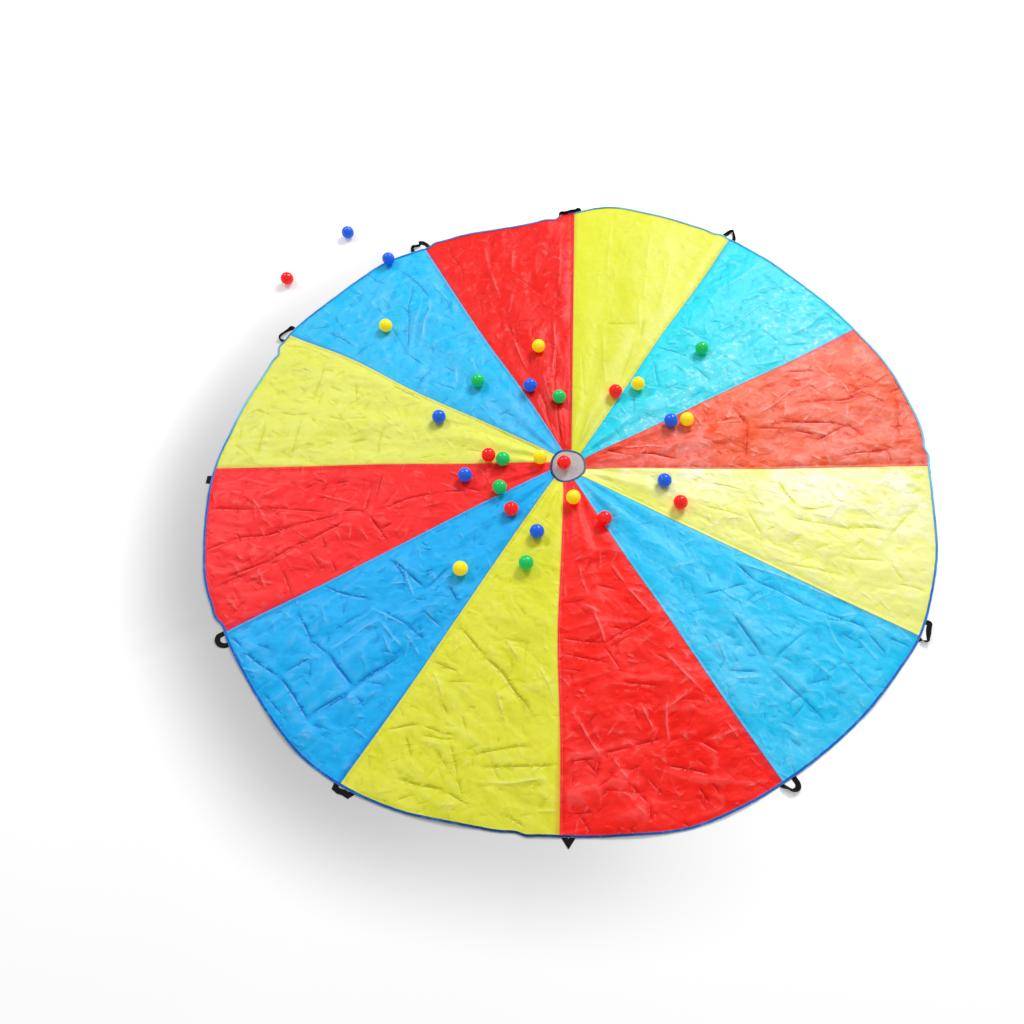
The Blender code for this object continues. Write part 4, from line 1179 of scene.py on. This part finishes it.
def net_finish():
    """Dusty pinkish grey thread, twisted, with paler and darker strands."""
    relief = 0.0002
    finish = Finish("net_threads", Specular_IOR_Level=0.3, Sheen_Weight=0.2)
    places = finish.places()
    across, along = finish.uv()
    patches = finish.noise(places, 30.0, 3.0)
    fuzz = finish.noise(places, 900.0, 2.0)
    colour = finish.mix(patches.eased(0.3, 0.7), *(linear(colour) for colour in NET_COLOURS))
    twist = ((along * 2 + across * 3) * (2 * math.pi / NET_TWIST)).sine() * 0.5 + 0.5
    return finish.finish(colour, 0.7 + 0.15 * fuzz, finish.bump(twist, relief, 0.7))


def ball_finish(name, colour):
    """Glossy blown plastic: slight streaks, fine scuffs that take the gloss off, dust, and a weak
    painted glow of its own colour, which makes it brighter and stands for the light that thin plastic lets
    through."""
    relief, light_depth = 0.0004, 0.004
    base = linear(colour)
    finish = Finish(
        name, Specular_IOR_Level=0.35, Coat_Weight=0.15, Coat_Roughness=0.08,
        Emission_Strength=1.0, Subsurface_Weight=0.08, Subsurface_Scale=light_depth,
        Subsurface_Radius=tuple(max(value, 0.05) for value in base),
    )
    places = finish.places()
    streaks = finish.noise(places, 26.0, 3.0, 0.6, stretch=(1.0, 1.0, 3.0))
    scuffs = finish.noise(places, 240.0, 4.0, 0.7)
    toned = finish.mix(streaks.eased(0.3, 0.7) * 0.4, base, tuple(0.88 * value for value in base))
    dusty = finish.mix(scuffs.eased(0.60, 0.80) * 0.10, toned, tinted(base, (0.8, 0.8, 0.8), 0.5))
    rough = 0.17 + 0.16 * scuffs.eased(0.45, 0.75)
    # Painted glow: the ball gives off a share of its own colour, which brightens it
    finish.set(finish.shader, "Emission Color", finish.scaled(toned, BALL_PAINTED_GLOW_SHARE))
    return finish.finish(dusty, rough, finish.bump(streaks * 0.6 + scuffs * 0.15, relief, 0.35))


def gore_grid(gore):
    """A gore's grid: rows from inside the hole's tape to inside the rim's tape, and columns
    from its start seam to its far seam with a last few on the lap over the next gore.

    Returns the hour, across and along of every point, its distances from the lap's edge and
    from the start seam, how far it lies on the lap from 0 to 1, and its radius."""
    body = np.linspace(0, 1, PANEL_ROWS) ** ROW_CROWDING
    rows = np.concatenate(([0.0], body, [1.0, 1.0, 1.0]))[:, None]
    middle = cloth_radius(np.array(gore + 0.5), rows)
    start, end = seam_hour(gore, rows), seam_hour(gore + 1, rows)
    width = middle * HOUR * (end - start)
    share = np.linspace(0, 1, PANEL_COLUMNS)[None, :]
    flat = CLEARANCE + (width - SEAM_STEP - CLEARANCE) * share
    steps = np.array((-0.5 * SEAM_STEP, 0.0, 0.35 * SEAM_LAP, 0.7 * SEAM_LAP, 0.98 * SEAM_LAP))
    place = np.concatenate((flat, width + steps[None, :]), axis=1)
    on_lap = smooth((place - width + SEAM_STEP) / SEAM_STEP)
    hour = start + place / (middle * HOUR)
    across = place / width
    along = np.broadcast_to(rows, across.shape)
    from_edge = width + SEAM_LAP - place
    radius = cloth_radius(hour, along)
    outer = rim_radius(hour)
    hem = (RIM_TAPE_WIDTH - CLEARANCE, RIM_TAPE_WIDTH / 2, RIM_TAPE_BACK + CLEARANCE)
    for step, inside in enumerate(hem):
        row = len(body) + 1 + step
        radius[row] = outer[row] - inside
    radius[0] = hole_tape_radius(hour[0]) - HOLE_TAPE_WIDTH / 4
    return hour, across, along, from_edge, place, on_lap, radius


def make_gore(gore):
    """One gore of crumpled cloth, a grid over its panel raised by the cloth's height, with
    its far edge lapped over the next gore, its hem in the tape and a thin wall."""
    hour, across, along, from_edge, from_start, on_lap, radius = gore_grid(gore)
    spots = towards(hour) * radius[..., None]
    flat_x, flat_y = np.moveaxis(towards(hour) * cloth_radius(hour, along)[..., None], -1, 0)
    height = cloth_height(gore, across, along, flat_x, flat_y)
    lap = across[-1] > 1
    under = cloth_height(
        (gore + 1) % GORE_COUNT, across[:, lap] - 1, along[:, lap], flat_x[:, lap], flat_y[:, lap],
    )
    height[:, lap] = np.where(across[:, lap] > 1, under, height[:, lap])
    height[0] = HOLE_TAPE_THICKNESS / 2
    height[1] = np.maximum(height[1], HOLE_TAPE_THICKNESS / 4)
    height[-3:] += HEM_LIFT
    height += LAP_LIFT * on_lap
    # Height over the cloth around it: the finish paints light on crests above zero and shade in valleys
    # below zero
    fold = np.clip((height - box_mean(height, FOLD_WINDOW)) / FULL_FOLD, -1, 1)
    crease, force, facing = crease_lines(gore, flat_x, flat_y)
    values = {"fold": fold, "crease": crease, "force": force, "start": from_start, "facing": facing}
    points = np.concatenate((spots, height[..., None]), axis=-1).reshape(-1, 3)
    faces = grid_faces(*height.shape)
    uv = np.stack((from_edge, along * CANOPY_RADIUS), axis=-1).reshape(-1, 2)
    colour_name, colour = GORE_COLOURS[gore]
    label = f"{gore or GORE_COUNT:02d}"
    finish = cloth_finish(f"{colour_name}_cloth_{label}", colour, gore)
    piece = make_piece(
        f"canopy_panel_{label}_{colour_name}", points, [faces], finish, f"{colour_name}_cloth",
        [f"gore_{label}_{colour_name}"], uv, values,
    )
    wall = piece.modifiers.new("wall", "SOLIDIFY")
    wall.thickness = SHEET_THICKNESS
    wall.offset = 1.0
    corners = spots.reshape(-1, 2)[faces]
    (x1, y1), (x2, y2) = (corners[:, 2] - corners[:, 0]).T, (corners[:, 3] - corners[:, 1]).T
    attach(piece, "root")


def rim_heights():
    """Hours right round the rim, and the height of the cloth at the inside of its tape."""
    hours, heights = [], []
    per_gore = TAPE_STATIONS // GORE_COUNT
    for gore in range(GORE_COUNT):
        start, end = seam_hour(gore, np.array(1.0)), seam_hour(gore + 1, np.array(1.0))
        across = np.arange(per_gore) / per_gore
        hour = start + (end - start) * across
        along = np.ones_like(across)
        spots = towards(hour) * cloth_radius(hour, along)[:, None]
        height = cloth_height(gore, across, along, spots[:, 0].copy(), spots[:, 1].copy())
        hours.append(hour)
        heights.append(height)
    return np.concatenate(hours), np.concatenate(heights)


def swept(profile, directions, origins, heights):
    """Points of a profile of outward and upward distances, carried along a path."""
    out, up = profile[:, 0], profile[:, 1]
    flat = origins[:, None, :] + directions[:, None, :] * out[None, :, None]
    height = heights[:, None] + up[None, :]
    return np.concatenate((flat, height[..., None]), axis=-1)


def path_lengths(points):
    """Length run along a path at each of its points."""
    steps = np.linalg.norm(np.diff(points, axis=0), axis=-1)
    return np.concatenate(([0.0], np.cumsum(steps)))


def make_tape(name, points, profile, finish, painted_light_tones, nodes):
    """A closed tape from the points of its swept profile, with its painted light and shade along the way.
    """
    shape = points.shape[:2]
    flat = points.reshape(-1, 3)
    faces = outward(flat, [grid_faces(*shape, wrap_rows=True, wrap_columns=True)])
    lengths = path_lengths(profile)[None, :], path_lengths(points[:, 0, :2])[:, None]
    uv = np.stack(np.broadcast_arrays(*lengths), axis=-1).reshape(-1, 2)
    tone = np.broadcast_to(painted_light_tones[:, None], shape)
    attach(make_piece(name, flat, faces, finish, name, nodes, uv, {"tone": tone}), "root")


def make_rim_tape():
    """Tape folded over the gores' hems: a rounded U profile swept once round the rim, which
    wavers in and out a little by noise."""
    hours, heights = rim_heights()
    top, wall, width = RIM_TAPE_HEIGHT, RIM_TAPE_WALL, RIM_TAPE_WIDTH
    turn = np.linspace(-np.pi / 2, np.pi / 2, 7)
    outer = np.column_stack((np.cos(turn) * top / 2 - top / 2, top / 2 + np.sin(turn) * top / 2))
    hollow = top / 2 - wall
    inner = np.column_stack((
        np.cos(turn[::-1]) * hollow - top / 2, top / 2 + np.sin(turn[::-1]) * hollow,
    ))
    profile = np.vstack((
        [(-width, 0.0), (-width / 2, 0.0)], outer,
        [(-width * 0.4, top * 1.05), (-width * 0.7, top * 0.97), (-width, top * 0.93)],
        [(-width, top * 0.93 - wall)], inner, [(-width, wall)],
    ))
    directions = towards(hours)
    wavers_per_hour = 40
    gather = noise(hours * wavers_per_hour, np.full_like(hours, 3.5), noise_table(SEED + 500)) - 0.5
    radius = rim_radius(hours) + RIM_TAPE_WAVER * gather
    points = swept(profile, directions, directions * radius[:, None], heights)
    finish = tape_finish("rim_tape_woven", RIM_TAPE_COLOURS, 1.75 * width)
    nodes = [name for name in frame["nodes"] if name.startswith("rim_binding")]
    # Painted shade on the rim's tape at the bottom and painted light towards the upper right
    make_tape("rim_tape", points, profile, finish, read_round(RIM_PAINTED_LIGHT_SHARES, hours), nodes)


def make_hole_tape():
    """Tape gathered round the hole: a half-round profile that swells and pinches in pleats."""
    hours = np.arange(HOLE_STATIONS) * GORE_COUNT / HOLE_STATIONS
    turn = np.linspace(0, np.pi, 13)
    width, top = HOLE_TAPE_WIDTH, HOLE_TAPE_THICKNESS
    arch = np.column_stack((np.cos(turn) * width / 2 - width / 2, np.sin(turn) ** 0.6 * top))
    profile = np.vstack((arch, [(-width * 0.75, 0.0), (-width * 0.25, 0.0)]))
    table, pleats_per_hour, join = noise_table(SEED + 510), 7.5, 0.15
    pleat = 1 - np.abs(2 * noise(hours * pleats_per_hour, np.full_like(hours, 1.5), table) - 1)
    pleat = np.where(hours > GORE_COUNT - join, pleat[0], pleat)
    directions = towards(hours)
    radius = hole_tape_radius(hours) + HOLE_TAPE_PLEAT * pleat
    points = swept(profile, directions, directions * radius[:, None], np.zeros_like(hours))
    points[..., 2] *= (0.82 + 0.35 * pleat)[:, None]
    finish = tape_finish("hole_tape_woven", HOLE_TAPE_COLOURS, 0.8 * width)
    # Painted shade on the left of the hole's tape and painted light on its right
    make_tape("hole_tape", points, profile, finish, np.sin(hours * HOUR), ["hole_binding"])


def make_net():
    """Net of woven threads: flat four-sided strands both ways, each over one and under the
    next, cos(pi crossing) high, cut off inside the hole's tape."""
    points, faces, uvs = [], [], []
    hidden = NET_EDGE_SHARE * HOLE_TAPE_WIDTH
    count = int((HOLE_RADIUS + HOLE_TAPE_WIDTH) / NET_PITCH) + 1
    first = 0
    for way in (0, 1):
        for strand in range(-count, count + 1):
            aside = strand * NET_PITCH
            run = np.arange(-2 * count, 2 * count + 1) * NET_PITCH / 2
            x, y = (run, np.full_like(run, aside)) if way == 0 else (np.full_like(run, aside), run)
            hour = np.arctan2(x, y) / HOUR
            keep = np.hypot(x, y) < hole_tape_radius(hour) - hidden
            if keep.sum() < 3:
                continue
            x, y, run = x[keep], y[keep], run[keep]
            crossing = run / NET_PITCH + strand + way
            middle = CLEARANCE + NET_THREAD + NET_THREAD / 2 * np.cos(np.pi * crossing)
            half = NET_STRAND / 2
            side = np.array((-half, half, half, -half))
            rise = np.array((-0.5, -0.5, 0.5, 0.5)) * NET_THREAD
            wide_x, wide_y = x[:, None] + side * way, y[:, None] + side * (1 - way)
            strip = np.stack((wide_x, wide_y, middle[:, None] + rise[None, :]), axis=-1).reshape(-1, 3)
            faces += [part + first for part in outward(strip, closed_strip(len(run), len(side)))]
            points.append(strip)
            uvs.append(np.stack(np.broadcast_arrays(side[None, :], run[:, None]), axis=-1).reshape(-1, 2))
            first += len(strip)
    piece = make_piece(
        "centre_net_threads", np.concatenate(points), faces, net_finish(), "net_mesh",
        ["centre_net"], np.concatenate(uvs),
    )
    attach(piece, "root")
    hours = np.arange(HOLE_STATIONS) * GORE_COUNT / HOLE_STATIONS
    area = float((np.pi * (hole_tape_radius(hours) - hidden) ** 2).mean())


def node_corners(node):
    """Corners of a CAD node's mesh."""
    corners = np.empty(3 * len(node.data.vertices), np.float32)
    node.data.vertices.foreach_get("co", corners)
    return corners.reshape(-1, 3).astype(float)


def handle_place(hour, corners):
    """Origin, clockwise and outward directions of a handle: its joint's place and axis, or for
    a tucked one the outermost edge of its node's corners and the rim's own direction. Then the
    strap's first step outwards and upwards from there."""
    found = [joint for joint in frame["joints"] if joint["child"] == f"handle_{hour:02d}"]
    if found:
        origin = np.array(found[0]["pos_m"])
        clockwise = np.array(found[0]["axis"])
        outwards = np.array((-clockwise[1], clockwise[0], 0.0))
        return origin, clockwise, outwards, (0.5 * CLEARANCE, -origin[2])
    out = towards(hour)
    outwards = np.array((*out, 0.0))
    clockwise = np.array((out[1], -out[0], 0.0))
    reach = (corners @ outwards).max()
    aside = (corners @ clockwise).mean()
    return outwards * reach + clockwise * aside, clockwise, outwards, (0.0, 0.0)


def strap_edges(hour, ends):
    """Sections of a handle's strap in its own frame: the middle, and half of its width and of
    its thickness as vectors. The width is mitred where the strap turns, and its two ends are
    moved outwards by the lengths given."""
    x, y, stand = np.array(HANDLE_SHARES[hour]).T
    if hour not in CREASED_HANDLES:
        share = np.linspace(0, 1, STRAP_STATIONS)
        x, y, stand = (read_along(row, share) for row in (x, y, stand))
    side = np.array((0.0, 1.0 if y.max() > 0 else -1.0))
    centres = np.column_stack((x - (x[0] + x[-1]) / 2, y)) * STRAP_WIDTH
    share = np.linspace(0, 1, len(centres))
    for end, away in zip(ends, (share, 1 - share)):
        centres[:, 1] += end * smooth(1 - away / STRAP_END_SHARE)
    centres[[0, -1], 1] -= side[1] * STRAP_SEWN
    steps = np.diff(centres, axis=0)
    steps /= np.linalg.norm(steps, axis=1)[:, None]
    before = np.vstack((side, steps[:-1], -side))
    after = np.vstack((side, steps[1:], -side))
    ahead = before + after
    ahead /= np.linalg.norm(ahead, axis=1)[:, None]
    mitre = 1 / np.maximum((ahead * before).sum(axis=1), LEAST_MITRE_SHARE)
    turn = stand * np.pi / 2
    level = np.column_stack((-ahead[:, 1], ahead[:, 0], np.zeros(len(x))))
    up = np.array((0.0, 0.0, 1.0))
    wide = level * (np.cos(turn) * mitre)[:, None] + up * np.sin(turn)[:, None]
    thick = up * np.cos(turn)[:, None] - level * np.sin(turn)[:, None]
    rise = (STRAP_WIDTH * np.sin(turn) + STRAP_THICKNESS * np.abs(np.cos(turn))) / 2
    return np.column_stack((centres, rise)), wide * STRAP_WIDTH / 2, thick * STRAP_THICKNESS / 2


def strap_grid(hour, ends):
    """A handle's strap: a rounded flat section carried through its sections. A strap with
    creases is filled in straight between them."""
    middle, wide, thick = strap_edges(hour, ends)
    if hour in CREASED_HANDLES:
        count = (len(middle) - 1) * CREASE_STEPS + 1
        place = np.linspace(0, len(middle) - 1, count)
        whole = np.arange(len(middle))
        middle, wide, thick = (
            np.column_stack([np.interp(place, whole, column) for column in part.T])
            for part in (middle, wide, thick)
        )
    round_it = np.arange(STRAP_SIDES) * 2 * np.pi / STRAP_SIDES + np.pi / STRAP_SIDES
    flat = np.sign(np.cos(round_it)) * np.abs(np.cos(round_it)) ** 0.35
    proud = np.sign(np.sin(round_it)) * np.abs(np.sin(round_it)) ** 0.6
    grid = middle[:, None, :] + wide[:, None, :] * flat[None, :, None]
    grid = grid + thick[:, None, :] * proud[None, :, None]
    across = (flat[None, :] + 1) * STRAP_WIDTH / 2
    uv = np.stack(np.broadcast_arrays(across, path_lengths(middle)[:, None]), axis=-1)
    return grid, uv.reshape(-1, 2)


def make_handle(hour, finish):
    """One webbing loop, sewn under the rim's tape."""
    name = f"handle_{hour:02d}"
    corners = node_corners(frame["nodes"][name])
    origin, clockwise, outwards, start = handle_place(hour, corners)
    local_x, local_y = (corners - origin) @ clockwise, (corners - origin) @ outwards
    furthest = max(point[1] for point in HANDLE_SHARES[hour]) * STRAP_WIDTH
    tucked = furthest == 0
    edge = np.max if tucked else np.min
    ends = [float(edge(local_y[local_x * side > 0])) - start[0] for side in (-1, 1)]
    grid, uv = strap_grid(hour, ends)
    grid[..., 1] += start[0]
    grid[..., 2] += start[1] + CLEARANCE / 2
    up = np.array((0.0, 0.0, 1.0))
    points = origin + grid.reshape(-1, 3) @ np.stack((clockwise, outwards, up))
    faces = outward(points, closed_strip(*grid.shape[:2]))
    piece = make_piece(f"webbing_loop_{hour:02d}", points, faces, finish, "black_webbing", [name], uv)
    if tucked:
        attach(piece, "root")
        return
    near = Vector(origin - outwards * CLEARANCE)
    far = Vector(origin + outwards * min(BEND_LENGTH, 0.4 * furthest))
    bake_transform(piece)


def globe():
    """Angles from the pole of a globe's rows, closer together at the equator and the poles,
    with the change of its radius there: a raised mould seam round the equator, and a sunk vent
    at the first pole with a lip round it, each exp(-(angle / width) squared) high."""
    cap, shoulder = math.radians(20), math.radians(84)
    seam_width, vent_width, lip_width = np.radians((0.9, 5.5, 2.0))
    lip_angle = math.radians(10)
    near_pole = np.concatenate((np.linspace(0, 1, 15) * 0.5, [0.53, 0.56, 0.72])) * cap / 0.72
    side = np.linspace(cap, shoulder, 14)[1:]
    belt = np.radians((86.5, 88.2, 89.2, 90.0))
    north = np.concatenate((near_pole[1:], side, belt))
    angles = np.concatenate((north, np.pi - north[-2::-1]))
    seam = BALL_SEAM * np.exp(-((angles - np.pi / 2) / seam_width) ** 2)
    vent = BALL_VENT * np.exp(-(angles / vent_width) ** 2)
    lip = BALL_VENT / 4 * np.exp(-((angles - lip_angle) / lip_width) ** 2)
    return angles, seam - vent + lip


def make_ball(name, centre, number, finish):
    """One ball: rows of a globe turned at random about its middle, closed by two poles."""
    angles, relief = globe()
    round_it = np.arange(BALL_COLUMNS) * 2 * np.pi / BALL_COLUMNS
    radius = BALL_RADIUS - BALL_SEAM + relief
    x = np.sin(angles)[:, None] * np.cos(round_it) * radius[:, None]
    y = np.sin(angles)[:, None] * np.sin(round_it) * radius[:, None]
    z = np.broadcast_to((np.cos(angles) * radius)[:, None], x.shape)
    rings = np.stack((x, y, z), axis=-1).reshape(-1, 3)
    poles = np.array(((0, 0, BALL_RADIUS - BALL_SEAM - BALL_VENT), (0, 0, BALL_SEAM - BALL_RADIUS)))
    points = np.concatenate((rings, poles))
    here = np.arange(BALL_COLUMNS)
    after = (here + 1) % BALL_COLUMNS
    last = (len(angles) - 1) * BALL_COLUMNS
    top = np.column_stack((np.full(BALL_COLUMNS, len(rings)), here, after))
    bottom = np.column_stack((np.full(BALL_COLUMNS, len(rings) + 1), last + after, last + here))
    faces = outward(points, [grid_faces(len(angles), BALL_COLUMNS, wrap_columns=True)])
    caps = outward(points, [top])[0], outward(points, [bottom])[0]
    draw = np.random.default_rng(SEED * 50 + number)
    turned, _ = np.linalg.qr(draw.normal(size=(3, 3)))
    turned *= np.sign(np.linalg.det(turned))
    piece = make_piece(
        f"play_{name}", points @ turned.T + centre, [*faces, *caps], finish,
        f"ball_{name.split('_')[2]}", [name],
    )
    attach(piece, "_".join(name.split("_")[:2]))


def make_floor():
    """A pale floor that shows white to the camera and keeps the object's shadow: rings of
    points that follow the rim, with the soft shade beside it kept as a value. What is seen of
    it, straight or in a reflection, is paler than what lights the object, and has a glow of
    its own that grows far out."""
    finish = Finish("floor_pale", Specular_IOR_Level=0.1, Emission_Strength=1.0)
    places = finish.places()
    grain = finish.noise(places, 1.2, 2.0)
    light = 1 - finish.value("shade")
    path = finish.node("ShaderNodeLightPath")
    seen = Number(finish, path.outputs["Is Camera Ray"])
    seen = seen + Number(finish, path.outputs["Is Glossy Ray"])
    seen = seen + Number(finish, path.outputs["Is Transmission Ray"])
    colour = finish.mix(seen.below(0.5), FLOOR_SEEN, FLOOR_UNSEEN)
    finish.set(finish.shader, "Base Color", finish.scaled(colour, light * (0.985 + 0.03 * grain)))
    glow = finish.mix(seen.below(0.5), FLOOR_GLOW, (0.0, 0.0, 0.0))
    x, y, _ = finish.split(places)
    far = (x * x + y * y).eased(FLOOR_NEAR ** 2, FLOOR_SIZE ** 2)
    finish.set(finish.shader, "Emission Color", finish.scaled(glow, light + far * FLOOR_FAR_GLOW))
    finish.set(finish.shader, "Roughness", 0.9)
    hours = np.arange(FLOOR_COLUMNS) * GORE_COUNT / FLOOR_COLUMNS
    away = np.concatenate((FLOOR_INNER_RINGS, np.linspace(*FLOOR_SHADE_RINGS), FLOOR_OUTER_RINGS))
    ring = rim_radius(hours)[None, :] + away[:, None]
    fading = 1 - smooth(away / FLOOR_SHADE_REACH)
    shade = read_round(FLOOR_SHADE_SHARES, hours)[None, :] * fading[:, None]
    spots = towards(hours)[None, :, :] * ring[..., None]
    level = np.full((*ring.shape, 1), -FLOOR_GAP)
    points = np.concatenate((spots, level), axis=-1).reshape(-1, 3)
    faces = [grid_faces(*ring.shape, wrap_columns=True), np.arange(len(hours))[None, :]]
    values = {"shade": np.clip(shade, 0, 1)}
    floor = make_object("floor", points, faces, finish.material, values=values)
    floor.data.shade_flat()


def make_lamp(name, place, size, power):
    """A soft area lamp turned towards the middle of the canopy."""
    data = bpy.data.lights.new(name, "AREA")
    data.shape = "RECTANGLE"
    data.size, data.size_y = size
    data.energy = power
    lamp = bpy.data.objects.new(name, data)
    lamp.location = place
    lamp.rotation_euler = (-Vector(place)).to_track_quat("-Z", "Y").to_euler()
    bpy.context.scene.collection.objects.link(lamp)


def make_light():
    """Plain soft studio light: an even room, a broad lamp behind on the right and a small
    one behind on the left."""
    world = bpy.data.worlds.new("room")
    bpy.context.scene.world = world
    world.use_nodes = True
    nodes, links = world.node_tree.nodes, world.node_tree.links
    background = nodes["Background"]
    background.inputs["Color"].default_value = (1.0, 1.0, 1.0, 1.0)
    path = nodes.new("ShaderNodeLightPath")
    both = nodes.new("ShaderNodeMath")
    both.operation = "MAXIMUM"
    links.new(path.outputs["Is Camera Ray"], both.inputs[0])
    links.new(path.outputs["Is Transmission Ray"], both.inputs[1])
    strength = nodes.new("ShaderNodeMapRange")
    strength.inputs["To Min"].default_value = ROOM_LEVEL
    strength.inputs["To Max"].default_value = 1.0
    links.new(both.outputs[0], strength.inputs["Value"])
    links.new(strength.outputs["Result"], background.inputs["Strength"])
    make_lamp("key_lamp", KEY_PLACE, KEY_SIZE, KEY_POWER)
    make_lamp("side_lamp", SIDE_PLACE, SIDE_SIZE, SIDE_POWER)


def make_camera():
    """The camera of the photograph, tilted down, with its axis a little right of the middle."""
    data = bpy.data.cameras.new("photo_camera")
    data.sensor_width = SENSOR * 1000
    data.lens = LENS * 1000
    data.shift_x = -(AXIS_PIXEL[0] - FRAME_PIXELS / 2) / FRAME_PIXELS
    camera = bpy.data.objects.new("photo_camera", data)
    camera.location = CAMERA_PLACE
    camera.rotation_euler = (math.radians(90 - CAMERA_ELEVATION), 0.0, 0.0)
    bpy.context.scene.collection.objects.link(camera)
    bpy.context.scene.camera = camera


def main():
    bpy.context.scene.view_settings.view_transform = "Standard"
    make_floor()
    for gore in range(GORE_COUNT):
        make_gore(gore)
    make_rim_tape()
    make_hole_tape()
    make_net()
    webbing = webbing_finish()
    for hour in HANDLE_SHARES:
        make_handle(hour, webbing)
    finishes = {name: ball_finish(f"ball_plastic_{name}", colour) for name, colour in BALL_COLOURS.items()}
    for number, (name, centre) in enumerate(sorted(BALL_CENTRES.items()), start=1):
        make_ball(name, centre, number, finishes[name.split("_")[2]])
    make_light()
    make_camera()


main()
